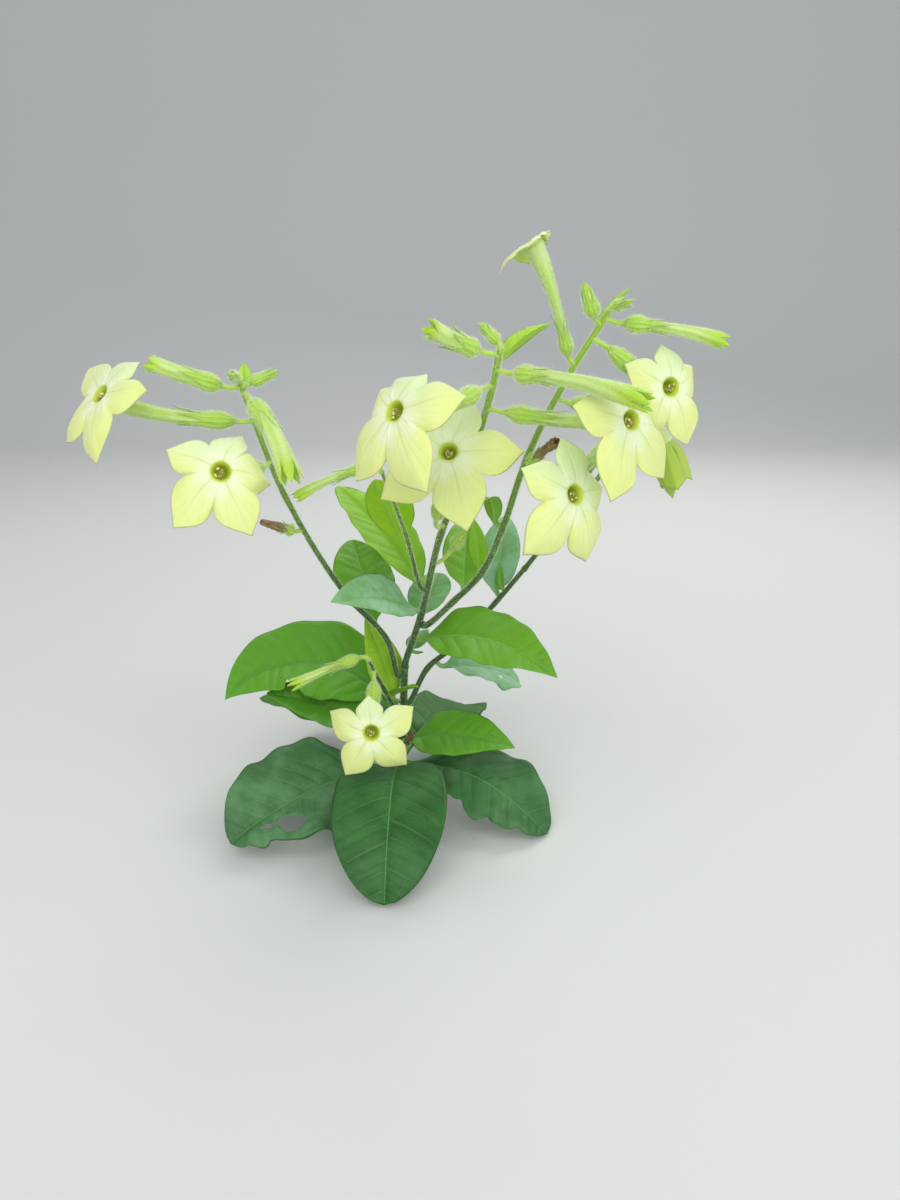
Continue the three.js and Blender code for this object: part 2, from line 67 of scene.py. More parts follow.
# %% [markdown]
# ## Camera
#
# The picture was taken from about half a metre in front of the plant and a little under its top, looking
# down on it. A camera that is only pitched keeps upright things almost upright. Its lens is worked out from
# the focal length in pixels, so that the plant fills the same part of the frame. The standard view keeps the
# petals' lime, which a filmic view would grey.

# %% Camera
PICTURE_HEIGHT = 1200
FOCAL_PIXELS = 901
LOOKS_DOWN = 17.9
EYE = (0.0344, -0.55, 0.3151)

bpy.ops.object.camera_add(location=EYE, rotation=(math.radians(90 - LOOKS_DOWN), 0, 0))
camera = bpy.context.object
camera.name = "picture_camera"
camera.data.lens = camera.data.sensor_width * FOCAL_PIXELS / PICTURE_HEIGHT
bpy.context.scene.camera = camera
bpy.context.scene.view_settings.view_transform = "Standard"
print("lens", round(camera.data.lens, 2), "mm")

# %% [markdown]
# ## Floor and light
#
# A photographer's paper sweep is a floor that curves up into a wall, so no horizon line cuts through the
# plant. A plane is enough to start from: its back edge is extruded upwards and the fold is bevelled round.
# Daylight under thin cloud is soft. One large lamp in front and above does most of the work, two weaker ones
# open the shadows, and a grey world fills the rest. The main lamp stands low, because the flowers face the
# camera and have to be the brightest thing in the picture, while the leaves on the ground lie in their shade.

# %% Floor
FLOOR_SIZE = 5.0
FLOOR_HEIGHT = -0.0004  # just under the leaves that lie on the ground
WALL_HEIGHT = 2.6
SWEEP_RADIUS = 0.9
PAPER = (0.62, 0.63, 0.62)
PAPER_ROUGHNESS = 0.9

bpy.ops.mesh.primitive_plane_add(size=FLOOR_SIZE, location=(0, 0, FLOOR_HEIGHT))
floor = bpy.context.object
floor.name = "paper_sweep"
bpy.ops.object.mode_set(mode="EDIT")
bpy.ops.mesh.select_mode(type="EDGE")
bpy.ops.mesh.select_all(action="DESELECT")
bpy.ops.object.mode_set(mode="OBJECT")
for edge in floor.data.edges:
    edge.select = all(floor.data.vertices[end].co.y > 0 for end in edge.vertices)
bpy.ops.object.mode_set(mode="EDIT")
bpy.ops.mesh.extrude_region_move(TRANSFORM_OT_translate={"value": (0, 0, WALL_HEIGHT)})
bpy.ops.object.mode_set(mode="OBJECT")
for edge in floor.data.edges:
    ends = [floor.data.vertices[end].co for end in edge.vertices]
    edge.select = all(end.y > 0 and end.z < WALL_HEIGHT / 2 for end in ends)
bpy.ops.object.mode_set(mode="EDIT")
bpy.ops.mesh.bevel(offset=SWEEP_RADIUS, segments=16, affect="EDGES")
bpy.ops.object.mode_set(mode="OBJECT")
bpy.ops.object.shade_smooth()
paper = bpy.data.materials.new("paper")
paper.use_nodes = True
shader = paper.node_tree.nodes["Principled BSDF"]
shader.inputs["Base Color"].default_value = (*PAPER, 1)
shader.inputs["Roughness"].default_value = PAPER_ROUGHNESS
floor.data.materials.append(paper)
print("the floor has", len(floor.data.polygons), "faces")

# %% Lights
PLANT_MIDDLE = Vector((0.02, -0.08, 0.18))
# Each lamp's place, size, watts and colour
LAMPS = {
    "front_light": ((-0.2, -1.35, 1.2), 1.6, 19, (1.0, 0.99, 0.95)),
    "side_light": ((1.3, -1.1, 0.8), 1.4, 9, (0.95, 0.98, 1.0)),
    "back_light": ((0.4, 1.1, 1.3), 1.0, 12, (1.0, 1.0, 0.94)),
}
SKY = (0.93, 0.96, 1.0)
SKY_STRENGTH = 0.56


def soft_light(name, place, size, watts, colour):
    """Adds a square area light of that size that faces the plant's middle."""
    turn = (PLANT_MIDDLE - Vector(place)).to_track_quat("-Z", "Y").to_euler()
    bpy.ops.object.light_add(type="AREA", location=place, rotation=turn)
    light = bpy.context.object
    light.name = name
    light.data.size = size
    light.data.energy = watts
    light.data.color = colour


for name, lamp in LAMPS.items():
    soft_light(name, *lamp)

world = bpy.data.worlds.new("studio")
bpy.context.scene.world = world
world.use_nodes = True
background = world.node_tree.nodes["Background"]
background.inputs["Color"].default_value = (*SKY, 1)
background.inputs["Strength"].default_value = SKY_STRENGTH
print(len(LAMPS), "lamps of", sum(lamp[2] for lamp in LAMPS.values()), "watts in all")

# %% [markdown]
# ## The rules' arithmetic
#
# The solids were worked out from named sizes: headings and rises in degrees, lengths in millimetres. The
# finer pieces follow the same rules, so the same small functions come first. They take whole arrays of
# numbers, and one call places all the points of a leaf or a flower.

# %% Directions and blends
MM = 0.001
UP = np.array([0.0, 0.0, 1.0])


def direction(heading, rise):
    """The unit way that heads round from +X and rises, both in degrees."""
    heading, rise = np.radians(heading), np.radians(rise)
    return np.stack([np.cos(heading) * np.cos(rise), np.sin(heading) * np.cos(rise), np.sin(rise)], axis=-1)


def mix(start, end, share):
    return start + (end - start) * share


def smooth(share):
    """An ease from 0 to 1 that stays flat outside."""
    share = np.clip(share, 0, 1)
    return share * share * (3 - 2 * share)


def unit(way):
    return way / np.linalg.norm(way, axis=-1, keepdims=True)


def square_to(side, way):
    """The unit way nearest to side that is square to way."""
    return unit(side - np.sum(side * way, axis=-1, keepdims=True) * way)


print("a heading of 90 and a rise of 30 go", direction(90, 30).round(2))

# %% [markdown]
# ## Curves that carry rings
#
# A stem, a flower's tube and a bud are each a run of rings along a bent line. The line is kept as close
# points. Each ring needs a way to face and a fixed side, and if every ring chose its own side the skin would
# twist, so one side is carried along the line from ring to ring.

# %% Line
STEEP = 0.99  # a line whose end goes this nearly straight up can't carry the side that faces up


class Line:
    """Close points with a share of the length for each, and a side carried along from the far end."""

    def __init__(self, points, shares=None, side=None):
        self.points = np.asarray(points, float)
        steps = np.linalg.norm(np.diff(self.points, axis=0), axis=1)
        self.length = steps.sum()
        if shares is None:
            shares = np.concatenate([[0], np.cumsum(steps)]) / self.length
        self.shares = shares
        self.ways = unit(np.gradient(self.points, axis=0))
        side = UP if side is None else side
        if abs(self.ways[-1] @ side) > STEEP:
            side = np.array([1.0, 0.0, 0.0])
        tops = []
        for way in self.ways[::-1]:
            side = square_to(side, way)
            tops.append(side)
        self.tops = np.array(tops[::-1])

    def read(self, table, share):
        """The table's row at a share, blended between its neighbours."""
        return np.stack([np.interp(share, self.shares, table[:, k]) for k in range(3)], axis=-1)

    def at(self, share):
        return self.read(self.points, share)

    def way(self, share):
        return unit(self.read(self.ways, share))

    def pole(self, share, around):
        """A row of points that all lie at a share, which closes a skin there."""
        return np.broadcast_to(self.at(share), (1, around, 3))

    def ring(self, share, angle, radius):
        """Points at an angle from the carried side and a radius from the line."""
        way = self.way(share)
        top = square_to(self.read(self.tops, share), way)
        right = np.cross(way, top)
        return self.at(share) + radius[..., None] * (
            right * np.sin(angle)[..., None] + top * np.cos(angle)[..., None]
        )


def spline(joints, steps=30):
    """Close points along the centripetal spline through the joints."""
    p = np.array(joints)
    p = np.vstack([2 * p[0] - p[1], p, 2 * p[-1] - p[-2]])
    t = np.linspace(0, 1, steps, endpoint=False)[:, None]
    runs = []
    for a, b, c, d in zip(p, p[1:], p[2:], p[3:]):
        before, gap, after = (math.sqrt(np.linalg.norm(step)) for step in (b - a, c - b, d - c))
        leave = ((b - a) / before - (c - a) / (before + gap) + (c - b) / gap) * gap
        reach = ((c - b) / gap - (d - b) / (gap + after) + (d - c) / after) * gap
        second = 3 * (c - b) - 2 * leave - reach
        third = 2 * (b - c) + leave + reach
        runs.append(b + leave * t + second * t**2 + third * t**3)
    return np.vstack(runs + [p[-2:-1]])


def bend(foot, elbow, tip, steps=48):
    """Close points along the curve that leaves foot towards elbow and reaches tip from it."""
    t = np.linspace(0, 1, steps)[:, None]
    return foot * (1 - t) ** 2 + elbow * 2 * t * (1 - t) + tip * t**2


# %% [markdown]
# ## From rings to a mesh
#
# Every stem, leaf, flower and bud starts as a grid primitive, like a sheet of paper rolled into a tube: its
# columns go round and its rows go along. Each vertex is moved to its place by the rule, a row whose points
# all meet becomes a closed end, and once the pieces of one kind are joined, merging by distance welds the
# seams. Two attributes travel with the vertices, so that a pattern can follow the surface: place, mostly in
# shares, and spot, in millimetres with a number of its own for each piece.

# %% Rings to mesh
WELD = 1e-7


def padded(values, before, after):
    """Repeats the first row and the last, for the rows that close a skin at its ends."""
    return np.concatenate([values[:1]] * before + [values] + [values[-1:]] * after)


def skin(name, rings, place, spot, finishes, picks=0):
    """Rolls a grid round rings of shape (rows, points round, 3), in millimetres, all above the ground.

    picks says which of the finishes each face has, as one number or by row and place round.
    """
    rows, around = rings.shape[:2]
    rings = np.maximum(rings, [-np.inf, -np.inf, 0.0])
    bpy.ops.mesh.primitive_grid_add(x_subdivisions=around, y_subdivisions=rows - 1)
    piece = bpy.context.object
    piece.name = name
    mesh = piece.data
    mesh.vertices.foreach_set("co", np.concatenate([rings, rings[:, :1]], axis=1).ravel() * MM)
    for key, values in (("place", place), ("spot", spot)):
        values = np.stack(np.broadcast_arrays(*values), axis=-1)
        values = np.broadcast_to(values, rings.shape)
        layer = mesh.attributes.new(key, "FLOAT_VECTOR", "POINT")
        layer.data.foreach_set("vector", np.concatenate([values, values[:, :1]], axis=1).ravel())
    for finish in finishes:
        mesh.materials.append(finish)
    picks = np.broadcast_to(picks, (rows - 1, around))
    mesh.polygons.foreach_set("material_index", picks.ravel().astype(np.int32))
    return piece


def joined(name, pieces):
    """Joins pieces of one kind, welds their seams and ends, and turns their faces outwards."""
    bpy.ops.object.select_all(action="DESELECT")
    for piece in pieces:
        piece.select_set(True)
    bpy.context.view_layer.objects.active = pieces[0]
    if len(pieces) > 1:
        bpy.ops.object.join()
    whole = bpy.context.object
    whole.name = name
    whole.data.name = name
    bpy.ops.object.mode_set(mode="EDIT")
    bpy.ops.mesh.select_all(action="SELECT")
    bpy.ops.mesh.remove_doubles(threshold=WELD)
    bpy.ops.mesh.normals_make_consistent(inside=False)
    bpy.ops.object.mode_set(mode="OBJECT")
    bpy.ops.object.shade_smooth()
    bpy.ops.object.select_all(action="DESELECT")
    triangles = sum(len(face.vertices) - 2 for face in whole.data.polygons)
    print(name, "has", triangles, "triangles")
    return whole


def dress(piece, slot, *nodes):
    """Makes a piece move with the plant and hides the solids that it replaces. Its slot is not used."""
    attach(piece, "root")
    if nodes:
        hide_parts(*nodes)


# %% [markdown]
# ## Writing shaders in few words
#
# A finish is a tree of small nodes. A little helper adds a node, sets it and wires it in one call, so that
# each finish can be read as a recipe. What several finishes share, such as veins or ribs, becomes a node
# group with its own inputs and outputs, built once.

# %% Shader helper
class Sheet:
    """A node tree being written: each call adds one node and gives back an output."""

    def __init__(self, tree):
        self.tree = tree

    def add(self, kind, inputs=(), **settings):
        made = self.tree.nodes.new("ShaderNode" + kind)
        for key, value in settings.items():
            setattr(made, key, value)
        for key, value in dict(inputs).items():
            socket = made.inputs[key]
            if isinstance(value, bpy.types.NodeSocket):
                self.tree.links.new(value, socket)
            elif socket.type == "RGBA" and len(value) == 3:
                socket.default_value = (*value, 1)
            else:
                socket.default_value = value
        return made

    def math(self, operation, *values):
        return self.add("Math", dict(enumerate(values)), operation=operation).outputs[0]

    def times(self, value, factor):
        return self.math("MULTIPLY", value, factor)

    def step(self, value, low, high, start=0.0, end=1.0):
        """Eases from start to end while value goes from low to high."""
        ends = {"Value": value, "From Min": low, "From Max": high, "To Min": start, "To Max": end}
        return self.add("MapRange", ends, interpolation_type="SMOOTHSTEP").outputs[0]

    def blend(self, share, first, second):
        return self.add("Mix", {0: share, 6: first, 7: second}, data_type="RGBA").outputs[2]

    def noise(self, where, scale, detail=2.0, rough=0.5):
        inputs = {"Vector": where, "Scale": scale, "Detail": detail, "Roughness": rough}
        return self.add("TexNoise", inputs).outputs[0]

    def parts(self, name):
        """The three numbers of an attribute."""
        layer = self.add("Attribute", attribute_name=name)
        return self.add("SeparateXYZ", {0: layer.outputs["Vector"]}).outputs[:]

    def where(self):
        return self.add("TexCoord").outputs["Object"]

    def group(self, group, **inputs):
        made = self.add("Group", node_tree=group)
        for key, value in inputs.items():
            socket = made.inputs[key.replace("_", " ")]
            if isinstance(value, bpy.types.NodeSocket):
                self.tree.links.new(value, socket)
            else:
                socket.default_value = value
        return made.outputs


def new_group(name, inputs, outputs):
    """Starts a node group whose inputs are numbers with a usual value and whose outputs are numbers."""
    tree = bpy.data.node_groups.new(name, "ShaderNodeTree")
    for key, value in inputs.items():
        socket = tree.interface.new_socket(name=key, in_out="INPUT", socket_type="NodeSocketFloat")
        socket.default_value = value
    for key in outputs:
        tree.interface.new_socket(name=key, in_out="OUTPUT", socket_type="NodeSocketFloat")
    given = tree.nodes.new("NodeGroupInput").outputs
    result = tree.nodes.new("NodeGroupOutput").inputs
    return Sheet(tree), given, result


def new_finish(name):
    """A material with a sheet to write its recipe on, and its Principled BSDF."""
    finish = bpy.data.materials.new(name)
    finish.use_nodes = True
    sheet = Sheet(finish.node_tree)
    return finish, sheet, finish.node_tree.nodes["Principled BSDF"]


def apply_finish(sheet, shader, colour, roughness, height=None, relief=0.0003, **plain):
    """Wires colour, roughness and height in. Plain values stay on the shader's own sockets."""
    for key, value in (("Base Color", colour), ("Roughness", roughness)):
        if isinstance(value, bpy.types.NodeSocket):
            sheet.tree.links.new(value, shader.inputs[key])
        else:
            shader.inputs[key].default_value = value
    if height is not None:
        bump = sheet.add("Bump", {"Strength": 1.0, "Distance": relief, "Height": height})
        sheet.tree.links.new(bump.outputs[0], shader.inputs["Normal"])
    for key, value in plain.items():
        shader.inputs[key.replace("_", " ")].default_value = value
    print("this finish has", len(sheet.tree.nodes), "nodes")


# %% [markdown]
# Nothing that grows has one flat colour. Every finish of the plant has soft patches and most have a fine
# grain, so both come from one node group. Its Size is how wide a patch is, in millimetres, and the grain is
# always the same.

# %% Shared pattern: mottle
GRAIN_PER_METRE = 2600.0

sheet, given, result = new_group("mottle", {"Size": 8.0}, ["Patches", "Grain"])
where = sheet.where()
patches_per_metre = sheet.math("DIVIDE", 1 / MM, given["Size"])
patches = sheet.noise(where, patches_per_metre, 3.0, 0.6)
sheet.tree.links.new(sheet.step(patches, 0.32, 0.68), result["Patches"])
sheet.tree.links.new(sheet.noise(where, GRAIN_PER_METRE, 2.0, 0.6), result["Grain"])
mottle = sheet.tree
print("the mottle group has", len(mottle.nodes), "nodes")

# %% [markdown]
# ## The plant's own measurements
#
# These are the rows that the solids were made from, in millimetres and degrees. A stem is a chain of runs
# between leaf joints, each (length, heading, rise). A leaf, flower or bud says which stem carries it, how far
# up, and which way it goes.

# %% Measurements
STEMS = {
    "main_stem": dict(legs=[(46, 0, 87), (45, 0, 87)], radii=(3.5, 2.2), flare=1.9),
    "left_stem": dict(
        parent="main_stem", at=0.94, radii=(1.7, 1.4),
        legs=[(29, 216, 73), (47, 217, 51), (80, 232, 57), (72, 244, 63)],
    ),
    "centre_stem": dict(
        parent="main_stem", radii=(2.1, 1.6),
        legs=[(43, 309, 65), (65, 294, 62), (56, 302, 57), (49, 291, 55), (25, 283, 55)],
    ),
    "right_stem": dict(
        parent="centre_stem", at=0.16, radii=(1.9, 1.5),
        legs=[(31, 321, 42), (29, 328, 47), (33, 319, 63), (49, 308, 66), (46, 320, 61), (39, 332, 58)],
    ),
    "back_stem": dict(
        parent="main_stem", at=0.72, radii=(1.8, 1.6),
        legs=[(25, 29, 58), (25, 28, 31), (40, 12, 46), (29, 354, 52)],
    ),
    "back_stem_top": dict(
        parent="back_stem", radii=(1.6, 1.2), legs=[(46, 325, 53), (50, 297, 44), (42, 276, 45)],
    ),
    "front_shoot": dict(parent="main_stem", at=0.66, legs=[(25, 231, 58), (30, 237, 59)], radii=(1.5, 1.1)),
    "axil_shoot": dict(parent="centre_stem", at=0.28, legs=[(45, 250, 59), (47, 240, 60)], radii=(1.2, 0.9)),
}
LEAVES = {
    "leaf_front": dict(
        on="main_stem", at=0.2, heading=269, rise=47, droop=106, length=146, width=68, fold=6,
        outline="broad",
    ),
    "leaf_front_left": dict(
        on="main_stem", at=0.12, heading=221, rise=29, droop=56, length=128, width=76, fold=10, roll=-20,
        wave=0.1,
    ),
    "leaf_front_right": dict(
        on="main_stem", at=0.26, heading=329, rise=17, droop=56, length=113, width=62, fold=6, roll=12,
        wave=0.09,
    ),
    "leaf_right_low": dict(
        on="main_stem", at=0.45, heading=338, rise=23, droop=34, length=78, width=42, fold=8, roll=22,
        outline="stem",
    ),
    "leaf_left_low": dict(
        on="main_stem", at=0.5, heading=186, rise=30, droop=18, length=91, width=42, fold=10, roll=-22,
        outline="pointed",
    ),
    "leaf_left": dict(
        on="main_stem", at=0.6, heading=143, rise=54, droop=86, length=138, width=64, fold=10, roll=-34,
        wave=0.07, turn=92, outline="tapered",
    ),
    "leaf_right_high": dict(
        on="centre_stem", at=0.11, heading=342, rise=21, droop=60, length=97, width=48, fold=10, roll=26,
        outline="stem", wave=0.06,
    ),
    "leaf_centre_left": dict(
        on="centre_stem", at=0.21, heading=222, rise=34, droop=34, length=69, width=36, fold=14, roll=-34,
        outline="stem",
    ),
    "leaf_upright": dict(
        on="centre_stem", at=0.27, heading=145, rise=51, droop=22, length=90, width=46, fold=10,
        outline="round",
    ),
    "leaf_spoon": dict(
        on="centre_stem", at=0.31, heading=210, rise=62, droop=-6, length=72, width=30, fold=14,
        outline="spoon", roll=44,
    ),
    "leaf_left_upright": dict(
        on="left_stem", at=0.2, heading=111, rise=43, droop=10, length=68, width=40, fold=8, outline="round",
    ),
    "leaf_shoot_back": dict(
        on="main_stem", at=0.74, heading=178, rise=78, droop=10, length=64, width=25, fold=8, outline="stem",
        roll=-58,
    ),
    "leaf_right_upright": dict(
        on="right_stem", at=0.19, heading=87, rise=35, droop=8, length=69, width=28, fold=10, outline="stem",
    ),
    "leaf_right_bright": dict(
        on="right_stem", at=0.27, heading=95, rise=47, droop=8, length=38, width=12, fold=12, outline="stem",
    ),
    "leaf_far_right": dict(
        on="back_stem", at=0.8, heading=72, rise=68, droop=10, length=56, width=28, fold=8, outline="round",
    ),
    "leaf_fork": dict(
        on="centre_stem", at=0.17, heading=73, rise=35, droop=20, length=45, width=28, fold=8,
        outline="round",
    ),
    "leaf_behind_fork": dict(
        on="centre_stem", at=0.05, heading=59, rise=27, droop=10, length=24, width=15, fold=8, outline="stem",
    ),
    "leaf_back_right": dict(
        on="back_stem", at=0.3, heading=18, rise=1, droop=40, length=65, width=50, fold=12, roll=18,
        wave=0.12,
    ),
    "leaf_back_left": dict(
        on="main_stem", at=0.36, heading=158, rise=30, droop=40, length=112, width=52, fold=10, wave=0.06,
        outline="pointed",
    ),
    "leaf_back_low": dict(
        on="main_stem", at=0.2, heading=124, rise=34, droop=70, length=124, width=62, fold=8, wave=0.08,
        outline="pointed",
    ),
    "leaf_back_low_right": dict(
        on="main_stem", at=0.28, heading=62, rise=30, droop=64, length=104, width=58, fold=8, wave=0.08,
    ),
    "leaf_shoot_bract": dict(
        on="front_shoot", at=0.4, heading=307, rise=36, droop=16, length=37, width=13, fold=16,
        outline="bract",
    ),
    "leaf_arching": dict(
        on="right_stem", at=0.42, heading=259, rise=75, droop=84, length=45, width=11, fold=12,
        outline="bract",
    ),
    "leaf_spray_left": dict(
        on="left_stem", at=0.975, heading=100, rise=66, droop=10, length=16, width=8, fold=16,
        outline="bract",
    ),
    "leaf_spray_centre": dict(
        on="centre_stem", at=0.975, heading=22, rise=37, droop=10, length=31, width=17, fold=28,
        outline="bract",
    ),
    "leaf_spray_right": dict(
        on="right_stem", at=0.965, heading=14, rise=56, droop=10, length=26, width=11, fold=16,
        outline="bract",
    ),
}
FLOWERS = {
    "flower_far_left": dict(
        on="left_stem", at=0.9, heading=199, rise=14, tube=65, face=(227, 37), turn=-11, reach=35, reflex=12,
    ),
    "flower_left": dict(
        on="left_stem", at=0.79, heading=257, rise=7, tube=47, face=(282, 22), turn=-16, reach=35, reflex=10,
    ),
    "flower_centre_left": dict(
        on="centre_stem", at=0.91, heading=229, rise=-5, tube=59, face=(228, 24), turn=-2, reach=40,
        reflex=12,
    ),
    "flower_centre": dict(
        on="centre_stem", at=0.5, heading=281, rise=50, tube=56, face=(259, 34), turn=-15, reach=42, reflex=1,
        stalk=18,
    ),
    "flower_low": dict(
        on="front_shoot", at=0.8, heading=272, rise=-18, tube=45, face=(270, 14), turn=5, reach=32, reflex=10,
    ),
    "flower_right_low": dict(
        on="back_stem_top", at=0.95, heading=247, rise=-12, tube=70, face=(305, 16), turn=-14, reach=37,
        reflex=12,
    ),
    "flower_right": dict(
        on="centre_stem", at=0.85, heading=332, rise=0, tube=65, face=(303, 16), turn=3, reach=38, reflex=8,
    ),
    "flower_far_right": dict(
        on="right_stem", at=0.935, heading=358, rise=-30, tube=37, face=(292, 10), turn=-6, reach=31,
        reflex=8,
    ),
    "flower_top": dict(
        on="right_stem", at=0.87, heading=214, rise=64, tube=59, face=(181, 57), turn=36, reach=24, reflex=8,
        girth=0.78, slim=0.68, stalk=4, calyx=14,
    ),
    "flower_hanging": dict(
        on="right_stem", at=0.78, heading=30, rise=-22, tube=74, face=(350, -68), turn=20, reach=30,
        reflex=-72, cup=0.5,
    ),
}
BUDS = {
    "bud_left_long": dict(on="left_stem", at=0.985, heading=191, rise=17, length=38, head=4, hang=-4),
    "bud_left_short": dict(
        on="left_stem", at=0.985, heading=10, rise=22, length=15, head=2.6, hang=0, stalk=3,
    ),
    "bud_left_tip": dict(on="left_stem", at=1, heading=269, rise=9, length=12, head=2.4, hang=0, stalk=3),
    "bud_left_hanging": dict(on="left_stem", at=0.97, heading=310, rise=-29, length=54, head=5.2, hang=34),
    "bud_axil": dict(on="axil_shoot", at=1, heading=205, rise=-5, length=47, head=3, hang=26),
    "bud_centre_left": dict(on="centre_stem", at=0.985, heading=201, rise=19, length=29, head=4.4, hang=-8),
    "bud_centre_back": dict(
        on="centre_stem", at=1, heading=139, rise=37, length=15, head=2.6, hang=0, stalk=3,
    ),
    "bud_centre_right": dict(on="centre_stem", at=0.95, heading=323, rise=0, length=75, head=4.7, hang=16),
    "bud_right_long": dict(on="right_stem", at=0.985, heading=358, rise=-3, length=54, head=3.8, hang=14),
    "bud_right_top": dict(
        on="right_stem", at=0.97, heading=216, rise=62, length=18, head=3.4, hang=0, stalk=3,
    ),
    "bud_right_tip": dict(on="right_stem", at=1, heading=303, rise=13, length=13, head=2.4, hang=0, stalk=3),
    "bud_shoot": dict(on="front_shoot", at=1, heading=210, rise=-7, length=48, head=3.2, hang=10),
    "bud_side": dict(on="centre_stem", at=0.365, heading=345, rise=58, length=13, head=3.6, hang=0, stalk=16),
    "pod_left": dict(on="left_stem", at=0.58, heading=213, rise=22, length=21, head=2.3, hang=0, stalk=4),
    "pod_right": dict(on="right_stem", at=0.61, heading=300, rise=36, length=29, head=2.4, hang=10, stalk=4),
    "pod_low": dict(on="main_stem", at=0.4, heading=286, rise=41, length=29, head=2, hang=0),
}

GAP = 0.3  # between a piece and the bark that it leaves
FLARE_SHARE = 0.2  # how much of the main stem its flared foot takes
COLLAR = 1.1  # how far a side stem starts straight out, in shares of its radius
print(len(STEMS), "stems,", len(LEAVES), "leaves,", len(FLOWERS), "flowers,", len(BUDS), "buds and pods")

# %% [markdown]
# ## Stems
#
# The main stem tapers from 6.5 mm above its flared foot to 4.4 mm, and the other stems are 1.8 to 4.2 mm
# thick. They are dark green low down, a little ribbed where the leaf stalks run down them, slightly swollen
# at their joints, and covered with short sticky hairs. A curve with a bevel would give a smooth pipe, so each
# stem is a skin over rings instead, whose radius can carry the ribs, the swellings and the flared foot. A
# side stem starts inside its parent, as a real one grows out of it.

# %% Where a piece leaves its stem
SUNK = 0.7  # how deep in its stem a piece starts, in shares of the stem's radius

lines = {}
stem_joints = {}


class Exit:
    """Where a piece leaves its stem: a point just clear of the bark, the way out, and a point inside."""

    def __init__(self, point, out, radius):
        self.point = point
        self.out = out
        self.inside = point - out * (GAP + SUNK * radius)


def stem_radius(stem, share):
    thick, thin = stem["radii"]
    return mix(thick, thin, share) * mix(stem.get("flare", 1), 1, np.clip(share / FLARE_SHARE, 0, 1))


def out_of(name, share, way):
    """The exit of a piece that goes a certain way: sideways from its stem, or straight on at its end."""
    place, along = lines[name].at(share), lines[name].way(share)
    radius = stem_radius(STEMS[name], share)
    if share >= 1:
        return Exit(place + along * GAP, along, radius)
    out = square_to(way, along)
    return Exit(place + out * (radius + GAP), out, radius)


def stem_line(name):
    """Keeps the stem's line and the shares of its length at which its joints lie."""
    stem = STEMS[name]
    joints = [np.zeros(3)]
    inside = joints[0]
    if "parent" in stem:
        leave = out_of(stem["parent"], stem.get("at", 1), direction(*stem["legs"][0][1:]))
        joints = [leave.point, leave.point + leave.out * stem["radii"][0] * COLLAR]
        inside = leave.inside
    for length, heading, rise in stem["legs"]:
        joints.append(joints[-1] + direction(heading, rise) * length)
    line = Line(spline(joints))
    line.inside = inside
    lines[name] = line
    nearest = [np.argmin(np.linalg.norm(line.points - joint, axis=1)) for joint in joints[2:-1]]
    stem_joints[name] = line.shares[nearest]


for name in STEMS:
    stem_line(name)
print("longest stem", round(max(line.length for line in lines.values())), "mm")

# %% Stem rule
STEM_ROUND = 25  # points round
STEM_ROW_STEP = 1.6
STEM_RIBS = 5
RIB_HEIGHT = 0.025  # this and the next swellings in shares of the stem's radius
RIB_WANDER = 1.3  # radians
RIB_WANDER_RUN = 31
UNEVEN = 0.02
UNEVEN_RUN = 7
JOINT_SWELL = 0.13
JOINT_REACH = 5.0
FOOT_SWELL = 0.35
FOOT_REACH = 2.5
END_REACH = 0.5  # how far the rounded end stands out, in shares of its radius


def make_stem(name, number):
    stem, line = STEMS[name], lines[name]
    share = np.linspace(0, 1, round(line.length / STEM_ROW_STEP))[:, None]
    along = share * line.length
    angle = np.linspace(0, 2 * np.pi, STEM_ROUND, endpoint=False)[None, :]
    radius = stem_radius(stem, share)
    for joint in stem_joints[name]:
        radius = radius * (1 + JOINT_SWELL * np.exp(-(((share - joint) * line.length / JOINT_REACH) ** 2)))
    if "parent" in stem:
        radius = radius * (1 + FOOT_SWELL * np.exp(-share * line.length / FOOT_REACH))
    rib = np.cos(STEM_RIBS * (angle + RIB_WANDER * np.sin(along / RIB_WANDER_RUN + number)))
    radius = radius * (1 + RIB_HEIGHT * rib + UNEVEN * np.sin(9 * angle + along / UNEVEN_RUN))
    end = line.points[-1] + line.ways[-1] * radius[-1].mean() * END_REACH
    first, last = (np.broadcast_to(point, (1, STEM_ROUND, 3)) for point in (line.inside, end))
    rings = np.concatenate([first, line.ring(share, angle, radius), last])
    share, rib = padded(share, 1, 1), padded(rib, 1, 1)
    tall = rings[..., 2]
    spot = (0, share * line.length, number / len(STEMS))
    return skin(name, rings, (rib, share, tall), spot, [stem_green])


# %% [markdown]
# The skin is fresh: a little darker between the ribs than on them, yellower towards the tips and a little
# brown and scuffed by the ground. The rib comes from the piece's own attribute, so it stays on the relief.

# %% Stem finish
STREAK_SCALE = (1500, 1500, 90)  # fine round the stem and long up it
STEM_DEEP = (0.02, 0.075, 0.01)
STEM_PALE = (0.045, 0.14, 0.018)
YOUNG_DEEP = (0.22, 0.42, 0.02)
YOUNG_PALE = (0.36, 0.57, 0.04)
YOUNG_FROM = 140.0  # how high the skin starts to be young, and how high it is all young
YOUNG_TO = 310.0
EARTHY = (0.16, 0.13, 0.07)

